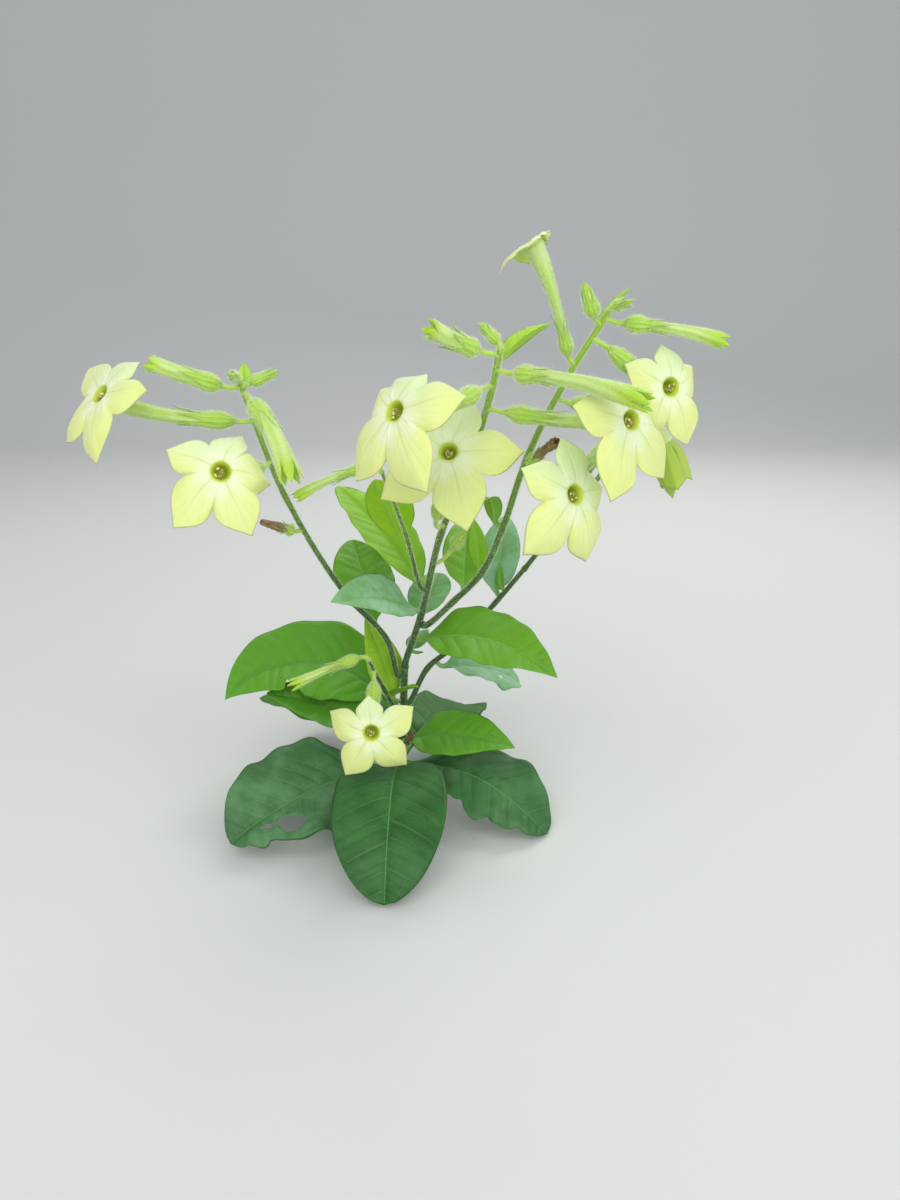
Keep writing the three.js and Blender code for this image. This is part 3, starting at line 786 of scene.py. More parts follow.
stem_green, sheet, shader = new_finish("stem_green")
rib, share, tall = sheet.parts("place")
marks = sheet.group(mottle, Size=9.0)
stretched = sheet.add("Mapping", {"Vector": sheet.where(), "Scale": STREAK_SCALE}).outputs[0]
streaks = sheet.noise(stretched, 1.0, 2)
young = sheet.step(tall, YOUNG_FROM, YOUNG_TO)
deep = sheet.blend(young, STEM_DEEP, YOUNG_DEEP)
pale = sheet.blend(young, STEM_PALE, YOUNG_PALE)
green = sheet.blend(sheet.step(sheet.math("ADD", rib, streaks), 0.0, 2.0), deep, pale)
earthy = sheet.step(sheet.math("ADD", tall, sheet.times(marks[0], 14.0)), 4.0, 24.0, 0.75, 0.0)
green = sheet.blend(earthy, green, EARTHY)
height = sheet.math("ADD", sheet.times(streaks, 0.7), sheet.times(marks[1], 0.5))
roughness = sheet.step(marks[1], 0.2, 0.8, 0.42, 0.62)
apply_finish(sheet, shader, green, roughness, height, 0.00015,
             Sheen_Weight=0.35, Sheen_Roughness=0.35, Sheen_Tint=(0.85, 1.0, 0.5, 1.0))

# %% Stems
stems = joined("stems", [make_stem(name, number) for number, name in enumerate(STEMS)])
dress(stems, "stem", *STEMS)

# %% [markdown]
# ## Leaves
#
# A tobacco leaf is a soft, broad blade on a winged stalk. Its rib is sunk on top and stands out below, curved
# side veins leave it every centimetre or so, and the blade between two veins swells a little, so the leaf
# looks quilted. Its margin waves. A flat card with a picture of veins would fail from the side, so both faces
# of the blade are made, with the rib, the veins and the waves as real height.

# %% Leaf outlines
# Where a blade is widest, in shares of its length, how long its bare stalk and its neck are, how wide the
# stalk is against the blade, and how blunt both ends are: below 1 is blunter
OUTLINES = {
    "rosette": dict(widest=0.58, neck=0.34, stalk=0.2, blunt=0.62),
    "broad": dict(widest=0.6, neck=0.3, stalk=0.2, blunt=0.55),
    "pointed": dict(widest=0.55, neck=0.3, stalk=0.2, blunt=0.85),
    "tapered": dict(widest=0.5, neck=0.26, stalk=0.24, blunt=1.05),
    "stem": dict(widest=0.43, neck=0.16, stalk=0.34, blunt=0.95),
    "round": dict(widest=0.5, neck=0.2, stalk=0.34, blunt=0.66),
    "spoon": dict(widest=0.72, bare=0.3, neck=0.62, stalk=0.14, blunt=0.8),
    "bract": dict(widest=0.42, neck=0.2, stalk=0.4, blunt=1),
}
STALK_HALF_WIDTH = 1.7
STALK_TAPER = 0.3


def half_width(leaf, share):
    outline = OUTLINES[leaf.get("outline", "rosette")]
    power = math.log(0.5) / math.log(outline["widest"])
    swell = np.sin(np.pi * share**power).clip(0) ** outline["blunt"]
    bare = outline.get("bare", 0)
    blade = mix(outline["stalk"], 1, smooth((share - bare) / (outline["neck"] - bare)))
    return np.maximum(leaf["width"] / 2 * swell * blade, STALK_HALF_WIDTH * mix(1, STALK_TAPER, share))


# %% [markdown]
# A leaf's rib leaves the stem square to it, bends to the leaf's own heading within a few millimetres and then
# droops evenly. It is walked in many short steps, because a heading that turns has no simple formula. Blades
# roll over to one side a little after they have left the stem.

# %% Leaf rib
LEAF_COLLAR = 6
RIB_STEPS = 240
ROLLED_BY = 0.25  # share of the length at which the blade has rolled over


def leaf_rib(leaf, leave, share):
    """The rib's points, the way across the blade and the way up from it, at each share of its length."""
    turn = leaf.get("turn", 0)

    def way_at(place):
        bent = direction(leaf["heading"] + turn * place, leaf["rise"] - leaf["droop"] * place)
        return unit(mix(leave.out, bent, smooth(place * leaf["length"] / LEAF_COLLAR)[:, None]))

    steps = (np.arange(RIB_STEPS) + 0.5) / RIB_STEPS
    walked = np.cumsum(way_at(steps), axis=0) * leaf["length"] / RIB_STEPS
    points = leave.point + np.vstack([np.zeros(3), walked])
    ends = np.linspace(0, 1, RIB_STEPS + 1)
    places = np.stack([np.interp(share, ends, points[:, k]) for k in range(3)], axis=-1)
    way = way_at(share)
    flat = np.radians(leaf["heading"] + turn * share)
    side = square_to(np.stack([np.sin(flat), -np.cos(flat), 0 * flat], axis=-1), way)
    roll = np.radians(leaf.get("roll", 0)) * smooth(share / ROLLED_BY)[:, None]
    side = side * np.cos(roll) + np.cross(way, side) * np.sin(roll)
    return places, side, np.cross(side, way)


# %% [markdown]
# The photo shows nibbled margins and holes in the low leaves. A margin is bitten by making the blade narrower
# there. A hole takes the faces inside a wobbly oval off both sides of the blade, eases the edge that is left,
# and stitches a wall between the two sides, so the leaf stays one closed skin.

# %% Holes and bites
# Holes through a blade: share of the length, place across from -1 to 1, and half its size each way
HOLES = {
    "leaf_front_left": [(0.74, -0.52, 0.065, 0.24), (0.83, -0.36, 0.03, 0.1)],
    "leaf_back_right": [(0.66, 0.4, 0.03, 0.12)],
}
# Bites out of a margin: share of the length, side, run in shares, depth of the half width
BITES = {
    "leaf_left": [(0.67, -1, 0.045, 0.4)],
    "leaf_front_left": [(0.36, -1, 0.06, 0.25), (0.86, -1, 0.05, 0.22), (0.95, -1, 0.025, 0.25)],
    "leaf_front_right": [(0.5, 1, 0.07, 0.2), (0.7, 1, 0.045, 0.17), (0.87, 1, 0.03, 0.2)],
    "leaf_back_right": [(0.6, 1, 0.04, 0.25), (0.8, -1, 0.03, 0.2)],
}
HOLE_WOBBLE = 0.35
EDGE_EASING = 2  # times that the edge of a hole is eased
UNDER = 1  # a blade's finishes are its top, 0, and this


def holed(shares, over, holes):
    """The cells of a blade, as (row, column), that lie inside the holes."""
    rows, columns = np.meshgrid(np.arange(len(shares) - 1), np.arange(len(over) - 1), indexing="ij")
    middle_share = (shares[rows] + shares[rows + 1]) / 2
    middle_over = (over[columns] + over[columns + 1]) / 2
    gone = np.zeros(rows.shape, bool)
    for at, beside, long, wide in holes:
        ahead, aside = (middle_share - at) / long, (middle_over - beside) / wide
        gone |= ahead**2 + aside**2 < 1 + HOLE_WOBBLE * np.sin(3 * np.arctan2(aside, ahead) + 40 * at)
    return set(zip(rows[gone].tolist(), columns[gone].tolist()))


def cut_holes(piece, cells, width):
    """Takes cells off both sides of a blade that is so many cells wide, and stitches its sides together."""
    shape = bmesh.new()
    shape.from_mesh(piece.data)
    shape.verts.ensure_lookup_table()
    shape.faces.ensure_lookup_table()

    def corner(place, lower):
        row, column = place
        return shape.verts[(row + 1) * (2 * width + 1) + (2 * width - column if lower else column)]

    lost, sides = [], []
    for row, column in cells:
        lost += [shape.faces[(row + 1) * 2 * width + place] for place in (column, 2 * width - 1 - column)]
        ring = [(row, column), (row, column + 1), (row + 1, column + 1), (row + 1, column)]
        beyond = [(row - 1, column), (row, column + 1), (row + 1, column), (row, column - 1)]
        sides += [(ring[k], ring[(k + 1) % 4]) for k in range(4) if beyond[k] not in cells]
    near = {}
    for start, end in sides:
        near.setdefault(start, []).append(end)
        near.setdefault(end, []).append(start)
    for lower in (False, True):
        points = {place: corner(place, lower) for place in near}
        for _ in range(EDGE_EASING):
            moved = {}
            for place, others in near.items():
                moved[place] = sum((points[other].co for other in others), Vector()) / len(others)
            for place, middle in moved.items():
                points[place].co = points[place].co.lerp(middle, 0.5)
    bmesh.ops.delete(shape, geom=lost, context="FACES_ONLY")
    for start, end in sides:
        wall = [corner(start, False), corner(end, False), corner(end, True), corner(start, True)]
        shape.faces.new(wall).material_index = UNDER
    shape.to_mesh(piece.data)
    shape.free()


# %% [markdown]
# The leaves differ in their green, and which is which can only be seen in the photo. One number for each leaf
# says it, and the finishes below turn that number into a colour.

# %% Leaf numbers
# How lime each leaf is, from 0 for the deepest green to 1, and beyond 1 for the leaf at the shoot and the
# bracts of the sprays. Below 0 it is how much painted pale bluish sheen the leaf has, a reflection of the
# sky.
LIME_AND_SKY_SHEEN = {
    "leaf_front": 0.0,
    "leaf_front_left": -0.18,
    "leaf_front_right": -0.05,
    "leaf_right_low": 0.9,
    "leaf_left_low": 0.7,
    "leaf_left": 0.85,
    "leaf_back_left": 0.5,
    "leaf_spoon": 1.0,
    "leaf_right_bright": 0.6,
    "leaf_shoot_back": 1.22,
    "leaf_upright": 0.75,
    "leaf_left_upright": 0.2,
    "leaf_right_upright": 0.25,
    "leaf_fork": -0.5,
    "leaf_right_high": 0.15,
    "leaf_centre_left": -0.8,
    "leaf_behind_fork": -0.5,
    "leaf_far_right": -0.85,
    "leaf_back_right": -1.05,
    "leaf_shoot_bract": 0.7,
    "leaf_arching": 0.4,
    "leaf_spray_left": 1.45,
    "leaf_spray_centre": 1.45,
    "leaf_spray_right": 1.45,
}
USUAL_LIME = 0.15
# The bluish bloom counted here is the painted sky sheen
print(sum(lime < 0 for lime in LIME_AND_SKY_SHEEN.values()), "leaves have a bluish bloom")

# %% [markdown]
# The blade is a grid that goes over the top from margin to margin and back underneath. The heights of the
# quilting, the rib and the veins are worked out for all its points together. They are in millimetres for a
# broad leaf and less on a smaller one.

# %% Leaf rule
ROW_LENGTH = 1.3
FEWEST_ROWS = 24
MOST_ROWS = 92
CELLS_WIDE = [(45, 34), (20, 24), (0, 12)]  # leaves wider than so many millimetres have so many cells across
BROAD_LEAF = 70  # a leaf this wide has the heights below in full
OPEN_BY = 0.3  # share of the length at which the blade lies open and may wave
PLAIN_WAVE = 0.03
WAVE_RUN = 14
WAVE_SHIFT = 2.2
FRILL = 0.3  # the smaller waves of the margin
LEAST_FRILL = 0.015
VEIN_GAP = 15  # between side veins
VEIN_SLANT = 0.62  # how far ahead a vein goes for each millimetre aside, and how that grows
VEIN_CURVE = 0.007
VEIN_STRAY = 0.18
QUILT = 1.15
BILLOW = 1.5
GROOVE = 0.75
GROOVE_WIDTH = 1.3
KEEL = 1.25  # height of the rib below, in shares of its radius
KEEL_RADIUS = 1.7
KEEL_END = 0.35
CORD = 0.3  # height of the side veins below
BLADE = 0.42  # thickness in the middle of the blade
MARGIN = 0.16


def make_leaf(name, finishes):
    leaf = LEAVES[name]
    random = np.random.default_rng(sum(map(ord, name)))
    vein_start = random.uniform(0, 6)
    frill_run, frill_start = random.uniform(30, 42), random.uniform(0, 6)
    billow_run, billow_start, billow_side = random.uniform(5, 8), random.uniform(0, 6), random.uniform(0, 6)
    seed = LIME_AND_SKY_SHEEN.get(name, USUAL_LIME) + random.uniform(-0.05, 0.05)

    length, fold = leaf["length"], math.radians(leaf["fold"])
    width = next(cells for least, cells in CELLS_WIDE if leaf["width"] > least)
    size = leaf["width"] / BROAD_LEAF
    over = np.linspace(-1, 1, width + 1)
    across = np.concatenate([over, over[-2:0:-1]])[None, :]
    upper = np.arange(2 * width)[None, :] <= width
    beside, margin = np.sign(across), np.abs(across)
    shares = np.linspace(0, 1, int(np.clip(length / ROW_LENGTH, FEWEST_ROWS, MOST_ROWS))) ** 0.96
    leave = out_of(leaf["on"], leaf["at"], direction(leaf["heading"], leaf["rise"]))
    rib, side, face = (part[:, None, :] for part in leaf_rib(leaf, leave, shares))
    share = shares[:, None]

    half = half_width(leaf, share) * np.ones_like(across)
    for at, bitten, run, depth in BITES.get(name, ()):
        bite = np.exp(-(((share - at) / run) ** 2)) * (beside == bitten)
        half = half * (1 - depth * bite * (1 + 0.2 * np.sin(share * 75)))
    distance = across * half
    reach = np.abs(distance)
    opened = smooth(share / OPEN_BY)
    blade = smooth((half - 2.5) / 6)

    gap = VEIN_GAP * (0.35 + 0.65 * size) * mix(1.15, 0.75, share)
    vein = (share * length - VEIN_SLANT * reach - VEIN_CURVE * reach**2) / gap + 0.5 * (across < 0)
    vein = vein + VEIN_STRAY * np.sin(2.3 * vein + vein_start + 2 * beside)
    between = 1 - np.abs(2 * np.mod(vein, 1) - 1) ** 3

    wave = leaf.get("wave", PLAIN_WAVE)
    ripple = wave * half * across**2 * np.sin(WAVE_RUN * share + WAVE_SHIFT * beside) * opened
    frill = np.sin(frill_run * share + frill_start + 2 * beside)
    ripple = ripple + (FRILL * wave + LEAST_FRILL) * half * margin**3 * opened * frill
    rolling = np.sin(billow_run * share + billow_start) * np.cos(2.3 * across + billow_side)
    billow = BILLOW * size * opened * blade * rolling
    quilt = QUILT * size * between * blade * smooth(reach / 3) * (1 - margin**4)
    groove = GROOVE * size**0.5 * np.exp(-((distance / GROOVE_WIDTH) ** 2)) * (1 - 0.6 * share)
    keel_radius = mix(KEEL_RADIUS, KEEL_END, share) * (0.45 + 0.55 * size)
    keel = KEEL * keel_radius * np.exp(-((distance / keel_radius) ** 2))
    cord = CORD * size * (1 - between) ** 2 * blade * (1 - margin) * smooth(reach / 2)
    thick = mix(BLADE, MARGIN, margin**3)
    lift = ripple + billow + quilt - groove
    lift = np.where(upper, lift + thick / 2, lift - thick / 2 - keel - cord)
    lift = np.where(margin == 1, ripple, lift)

    points = rib + side * (distance * math.cos(fold))[..., None]
    points = points + face * (reach * math.sin(fold) + lift)[..., None]
    points[-1] = points[-1].mean(axis=0)
    rings = np.concatenate([np.broadcast_to(leave.inside, points[:1].shape), points])
    share = padded(share, 1, 0)
    place = (across, share, padded(vein, 1, 0))
    spot = (padded(distance, 1, 0), share * length, seed)
    piece = skin(name, rings, place, spot, finishes, np.repeat([0, UNDER], width))
    if name in HOLES:
        cut_holes(piece, holed(shares, over, HOLES[name]), width)
    return piece


# %% [markdown]
# The vein pattern serves all four leaf finishes, so it is one node group. It reads the leaf's own attributes:
# how far across and along the blade a point is, how many side veins lie below it, and its distance from the
# rib in millimetres. The finest net of veins is made of the edges between the cells of a Voronoi texture.

# %% Shared pattern: veins
usual = {"Rib": 0.8, "Vein": 0.12, "Net": 2.6}
sheet, given, result = new_group("veins", usual, ["Rib", "Veins", "Net", "Height"])
across, share, vein = sheet.parts("place")
distance, along, seed = sheet.parts("spot")
reach = sheet.math("ABSOLUTE", distance)
slim = sheet.math("MULTIPLY_ADD", share, -0.72, 1.0)
rib_width = sheet.times(given["Rib"], slim)
rib = sheet.step(sheet.math("DIVIDE", reach, rib_width), 0.55, 1.25, 1.0, 0.0)
turn = sheet.math("PINGPONG", vein, 0.5)
fade = sheet.math("MULTIPLY_ADD", sheet.math("ABSOLUTE", across), -0.75, 1.0)
vein_width = sheet.times(given["Vein"], fade)
side_veins = sheet.step(sheet.math("DIVIDE", turn, vein_width), 0.25, 1.0, 1.0, 0.0)
flat = sheet.add("CombineXYZ", {0: distance, 1: along, 2: sheet.times(seed, 40.0)}).outputs[0]
stray = sheet.add("TexNoise", {"Vector": flat, "Scale": 0.25, "Detail": 2.0}).outputs["Color"]
flat = sheet.add("VectorMath", {0: flat, 1: stray}, operation="ADD").outputs[0]
cells = {"Vector": flat, "Scale": sheet.math("DIVIDE", 1.0, given["Net"])}
net = sheet.add("TexVoronoi", cells, feature="DISTANCE_TO_EDGE").outputs["Distance"]
net = sheet.step(net, 0.0, 0.16, 1.0, 0.0)
sunk = sheet.math("MAXIMUM", rib, sheet.math("MAXIMUM", side_veins, sheet.times(net, 0.45)))
raised = sheet.math("SUBTRACT", 1.0, sunk)
for key, value in (("Rib", rib), ("Veins", side_veins), ("Net", net), ("Height", raised)):
    sheet.tree.links.new(value, result[key])
veins = sheet.tree
print("the veins group has", len(veins.nodes), "nodes")

# %% [markdown]
# The rosette is a deep green on top, painted darker still for the shade that it lies in below the stems, and
# dull and paler underneath. Leaves up the stems are yellower, and the youngest are almost lime. Some carry a
# painted pale bluish sheen, the sky's reflection, and all have brown specks on top, the rosette more of them.
# Each leaf's own number shifts its colour. One function writes all four finishes from their rows.

# %% Leaf finishes
# A painted reflection of the sky, which some leaves carry as a pale bluish sheen
PAINTED_SKY_SHEEN = (0.28, 0.52, 0.31)
BRACT = (0.4, 0.63, 0.06)
SPECK = (0.1, 0.07, 0.03)
# specks is how rare they are. An underside has none.
LEAF_FINISHES = {
    # The rosette's top: a deep green, painted darker still for the shade that it lies in below the stems
    "rosette_top": dict(
        deep=(0.011, 0.075, 0.01), light=(0.03, 0.15, 0.024), lime=(0.11, 0.34, 0.012),
        pale=(0.12, 0.32, 0.085), specks=0.86,
    ),
    "rosette_under": dict(
        deep=(0.06, 0.16, 0.04), light=(0.09, 0.22, 0.06), lime=(0.16, 0.38, 0.03), pale=(0.2, 0.4, 0.12),
    ),
    "stem_leaf_top": dict(
        deep=(0.08, 0.27, 0.01), light=(0.11, 0.34, 0.02), lime=(0.26, 0.52, 0.0),
        pale=(0.24, 0.48, 0.09), specks=0.93,
    ),
    "stem_leaf_under": dict(
        deep=(0.1, 0.29, 0.03), light=(0.14, 0.36, 0.05), lime=(0.28, 0.53, 0.01), pale=(0.3, 0.54, 0.15),
    ),
}


def leaf_finish(name, deep, light, lime, pale, specks=None):
    finish, sheet, shader = new_finish(name)
    under = specks is None
    pattern = sheet.group(veins, Rib=0.75, Vein=0.09, Net=2.6)
    marks = sheet.group(mottle, Size=24.0)
    across, share, vein = sheet.parts("place")
    seed = sheet.parts("spot")[2]
    green = sheet.blend(sheet.times(marks[0], 0.7), deep, light)
    swollen = sheet.math("PINGPONG", vein, 0.5)
    green = sheet.blend(sheet.step(swollen, 0.0, 0.5, 0.0, 0.3), green, light)
    green = sheet.blend(sheet.math("MAXIMUM", seed, 0.0), green, lime)
    green = sheet.blend(sheet.step(seed, 1.1, 1.5), green, BRACT)
    # Painted sky reflection: leaves whose number is below 0 turn pale and bluish, in patches
    bloom = sheet.times(sheet.times(seed, -1.0), sheet.step(marks[0], 0.1, 0.9, 0.65, 1.25))
    green = sheet.blend(sheet.math("MAXIMUM", bloom, 0.0), green, PAINTED_SKY_SHEEN)
    green = sheet.blend(sheet.times(pattern["Net"], 0.04), green, pale)
    green = sheet.blend(sheet.times(pattern["Veins"], 0.26), green, pale)
    green = sheet.blend(sheet.times(pattern["Rib"], 0.7), green, pale)
    green = sheet.blend(sheet.step(share, 0.0, 0.2, 0.5, 0.0), green, pale)
    margin = sheet.step(sheet.math("ABSOLUTE", across), 0.95, 1.0, 0.0, 0.22)
    green = sheet.blend(margin, green, pale)
    if not under:
        dots = sheet.add("TexVoronoi", {"Vector": sheet.where(), "Scale": 210.0})
        dot = sheet.step(dots.outputs["Distance"], 0.06, 0.17, 1.0, 0.0)
        chance = sheet.add("SeparateColor", {0: dots.outputs["Color"]}).outputs[0]
        some = sheet.step(chance, specks, specks + 0.05)
        green = sheet.blend(sheet.times(dot, some), green, SPECK)
    height = sheet.times(pattern["Height"], -1.0 if under else 1.0)
    height = sheet.math("MULTIPLY_ADD", marks[1], 0.35, height)
    roughness = 0.7 if under else sheet.step(marks[1], 0.2, 0.8, 0.42, 0.58)
    apply_finish(sheet, shader, green, roughness, height, 0.00015, Specular_IOR_Level=0.3,
                 Subsurface_Weight=0.1, Subsurface_Scale=0.001, Subsurface_Radius=(0.6, 1.0, 0.1))
    return finish


leaf_greens = {name: leaf_finish(name, **recipe) for name, recipe in LEAF_FINISHES.items()}

# %% [markdown]
# Three leaflets were too small for the solids and are added here. The leaves on the main stem, but for the
# one at the shoot, are the rosette. The others are the stem leaves, and each kind is joined in one piece.

# %% Leaves
LEAFLETS = {
    "leaflet_left": dict(on="left_stem", at=0.26, heading=120, rise=62, droop=10, length=14, width=5,
                         fold=14, outline="bract"),
    "leaflet_centre": dict(on="centre_stem", at=0.06, heading=330, rise=40, droop=30, length=8, width=4,
                           fold=14, outline="bract"),
    "leaflet_back": dict(on="back_stem", at=0.84, heading=95, rise=72, droop=4, length=19, width=5,
                         fold=14, outline="bract"),
}
LEAVES.update(LEAFLETS)
low_leaves = [name for name in LEAVES if LEAVES[name]["on"] == "main_stem" and name != "leaf_shoot_back"]
high_leaves = [name for name in LEAVES if name not in low_leaves]


def make_leaves(name, leaves, kind):
    greens = [leaf_greens[kind + "_top"], leaf_greens[kind + "_under"]]
    return joined(name, [make_leaf(leaf, greens) for leaf in leaves])


basal_leaves = make_leaves("basal_leaves", low_leaves, "rosette")
dress(basal_leaves, "basal_leaf", *low_leaves)
stem_leaves = make_leaves("stem_leaves", high_leaves, "stem_leaf")
dress(stem_leaves, "stem_leaf", *[name for name in high_leaves if name not in LEAFLETS])

# %% [markdown]
# ## Flowers
#
# A flowering tobacco's bloom is one piece of petal: a narrow hairy tube that widens a little, turns at its
# mouth and opens flat into five broad, pointed lobes. The upper lobes are shorter. Each lobe has a fine
# crease down its middle, its margin is slightly frilled, and no two lie quite alike. The stalk that carries
# it comes first, a bent rod that is stouter at both ends. It gets a class of its own, because flowers, buds
# and pods all have one.

# %% Stalk
STALK_RADIUS = 1.1
STALK_LENGTH = 8
STALK_ELBOW = 0.45  # where it bends, and how far it goes on, in shares of its length
STALK_REACH = 0.6
STALK_FOOT_SWELL = 0.5
STALK_HEAD_SWELL = 0.25
STALK_ROWS = 14
STALK_ROUND = 12


class Stalk:
    """A flower's stalk leaves its stem and bends round to the way that the tube starts."""

    def __init__(self, item, way):
        leave = out_of(item["on"], item["at"], way)
        length = item.get("stalk", STALK_LENGTH)
        elbow = leave.point + leave.out * length * STALK_ELBOW
        self.foot = elbow + way * length * STALK_REACH
        self.line = Line(np.vstack([leave.inside, bend(leave.point, elbow, self.foot, 12)]))

    def piece(self, name, seed):
        share = np.linspace(0, 1, STALK_ROWS)[:, None]
        angle = np.linspace(0, 2 * np.pi, STALK_ROUND, endpoint=False)[None, :]
        swell = 1 + STALK_FOOT_SWELL * np.exp(-share * 7) + STALK_HEAD_SWELL * share**3
        rings = padded(self.line.ring(share, angle, STALK_RADIUS * swell * np.ones_like(angle)), 1, 1)
        rings[[0, -1]] = rings[[0, -1]].mean(axis=1, keepdims=True)
        place = (1, padded(share, 1, 1), 0)
        return skin(name + "_stalk", rings, place, (0, 0, seed), [calyx_green])


print("a stalk's skin has", (STALK_ROWS + 1) * STALK_ROUND, "faces")

# %% [markdown]
# The calyx is the ribbed green cup that holds the tube. It is round-bellied at its foot, hugs the tube higher
# up, and ends in five long teeth of uneven length, which stand off a little. Teeth cut out of a plain cup
# would have ragged edges, so every row of the grid is stretched to follow them. The same rule serves flowers,
# buds and pods, so it is told how thick the tube inside is.

# %% Calyx rule
LOBES = 5
CALYX_LENGTH = 19
CALYX_RADIUS = 4.6
# Girths of a calyx along its length, in shares of its widest
CALYX_GIRTHS = [
    (0, 0.3), (0.05, 0.55), (0.13, 0.8), (0.25, 0.97), (0.36, 1), (0.5, 0.93), (0.7, 0.74), (1.3, 0.5),
]
CALYX_TEETH = 0.62  # share of the calyx below its teeth
TEETH_REACH = 1.22
TEETH_APART = 1.12  # above 1, so that there is a gap between two teeth
TEETH_STAND_OFF = 3.2
CALYX_WALL = 0.45  # how far its outside is from the tube, in millimetres
CALYX_LIP = 0.3
CALYX_RIBS = 0.05  # in shares of its radius
CALYX_ROUND = 60
CALYX_ROWS = 22


def calyx_radius(share, widest):
    places, girths = np.array(CALYX_GIRTHS).T
    return widest * np.interp(share, places, girths)


def make_calyx(name, line, end, widest, inside, seed):
    """A ribbed cup whose five long teeth lie along the tube. end is the share of the line that it covers."""
    random = np.random.default_rng(int(seed * 1e6))
    angle = np.linspace(0, 2 * np.pi, CALYX_ROUND, endpoint=False)[None, :]
    turn = LOBES * angle / (2 * np.pi) + 0.5
    offset = np.abs(np.mod(turn, 1) - 0.5) * 2
    tooth = np.clip(1 - offset * TEETH_APART, 0, 1) ** 1.25
    reach = TEETH_REACH + random.uniform(-0.12, 0.1, LOBES)[turn.astype(int) % LOBES]
    row = np.linspace(0, 1, CALYX_ROWS)[:, None] ** 0.9
    share = row * mix(CALYX_TEETH, reach, tooth)
    beyond = np.clip(share - CALYX_TEETH, 0, 1)
    wall = inside(share * end) + CALYX_WALL + TEETH_STAND_OFF * beyond**2 * random.uniform(0.5, 1.8)
    hugging = smooth((share - CALYX_TEETH * 0.5) / (CALYX_TEETH * 0.9))
    radius = mix(np.maximum(calyx_radius(share, widest), wall * smooth(share / 0.35)), wall, hugging)
    ribs = 0.5 + 0.5 * np.cos(2 * LOBES * angle)
    radius = radius * (1 + CALYX_RIBS * ribs * smooth(share / 0.3) * (1 - hugging) - 0.02)
    outer = line.ring(share * end, angle, radius)
    lip = line.ring(share[-1:] * end, angle, radius[-1:] - CALYX_LIP)
    down = share[-1:] * 0 + 0.35
    inner = line.ring(down * end, angle, inside(down * end) * 0.7)
    foot = np.broadcast_to(outer[:1].mean(axis=1, keepdims=True), lip.shape)
    rings = np.concatenate([foot, outer, lip, inner, line.pole(0.3 * end, CALYX_ROUND)])
    place = (ribs, padded(row, 1, 3), padded(share, 1, 3))
    return skin(name + "_calyx", rings, place, (0, 0, seed), [calyx_green])


print("a flower's calyx is about", 2 * CALYX_RADIUS, "mm across at its belly")

# %% [markdown]
# A star could be five petals side by side, but they would need joining at the clefts. One sheet that reaches
# further out at each lobe's middle has no seams. Half a lobe's outline is given by a few points, used on both
# sides of the middle and turned round the throat. Each lobe's length, bend and swing were read off the photo,
# flower by flower.

# %% Lobe outline
# Half of a lobe's outline from the cleft to its tip: how far out, and how wide there, in shares of its reach
LOBE_EDGE = [
    (0.42, 0.306), (0.5, 0.33), (0.58, 0.334), (0.66, 0.312), (0.74, 0.262), (0.82, 0.186), (0.9, 0.1),
    (0.96, 0.038), (1, 0),
]
# How each flower's lobes differ, from its first lobe on: how long against the rule, and how many degrees
# bent back and swung aside
LOBE_WAYS = {
    "flower_far_left": [(0.9, 0, -13), (1.15, -10, 4), (1.08, 0, 2), (1.06, 0, -2), (0.96, 0, 9)],
    "flower_left": [(0.85, 8, -14), (0.97, 0, 8), (1.05, 0, 9), (0.98, 0, 2), (0.83, 12, -14)],
    "flower_centre_left": [(0.72, 10, -14), (0.85, 40, -15), (1.01, 0, 5), (1.03, 0, 2), (0.99, 0, 6)],
    "flower_centre": [(0.95, 0, 0), (1, 0, 0), (1.04, 0, 0), (1.03, 0, -3), (1.03, 5, 2)],
    "flower_low": [(0.89, 0, 0), (1.03, 0, -11), (1, 0, 0), (0.97, 0, 3), (1.07, 0, 8)],
    "flower_right_low": [(1, 0, 13), (1, 0, 0), (1.12, 0, 0), (1, 0, -7), (0.9, 10, 0)],
    "flower_right": [(0.6, 35, 0), (0.95, 0, -3), (1.07, 0, 11), (0.97, 0, -4), (0.68, 20, 0)],
    "flower_far_right": [(0.92, 0, 14), (1.04, 0, -4), (0.9, 10, 15), (1.05, 0, -8), (0.9, 15, 20)],
    "flower_top": [(0.5, 20, 0), (0.75, 20, 0), (0.86, 2, 0), (0.85, -8, 6), (0.5, 0, 0)],
    "flower_hanging": [(1, 0, 0), (0.95, 6, 5), (1, -6, 0), (0.95, 0, -5), (1, 4, 0)],
}


def lobe_outline(offset):
    """The reach at an offset from 0, a lobe's middle, to 1, the cleft beside it."""
    edge = np.array(LOBE_EDGE)
    turns = np.arctan2(edge[:, 1], edge[:, 0]) / (np.pi / LOBES)
    order = np.argsort(turns)
    return np.interp(offset, turns[order], np.hypot(edge[:, 0], edge[:, 1])[order])


print("a lobe's cleft is at", lobe_outline(1.0).round(3), "of the reach of its tip")

# %% [markdown]
# The star bends back from its throat to its rim, and on its faces lie small forms that catch the light. They
# are heights over the bent sheet, so each can be set by itself. The underside follows the same rule a little
# deeper, which gives the petal its thickness without a modifier. Smaller differences are drawn at random.

# %% Star rule
THROAT_RADIUS = 4.6
THROAT_DEPTH = 6.5
THROAT_START = 0.4  # how far behind the mouth the throat's wall starts
UPPER_LOBES = 0.78
LOBE_STEPS = 26  # points round in each lobe
LOBE_TILT = 1.6  # how much faster the petal's thickness turns than the lobe bends back
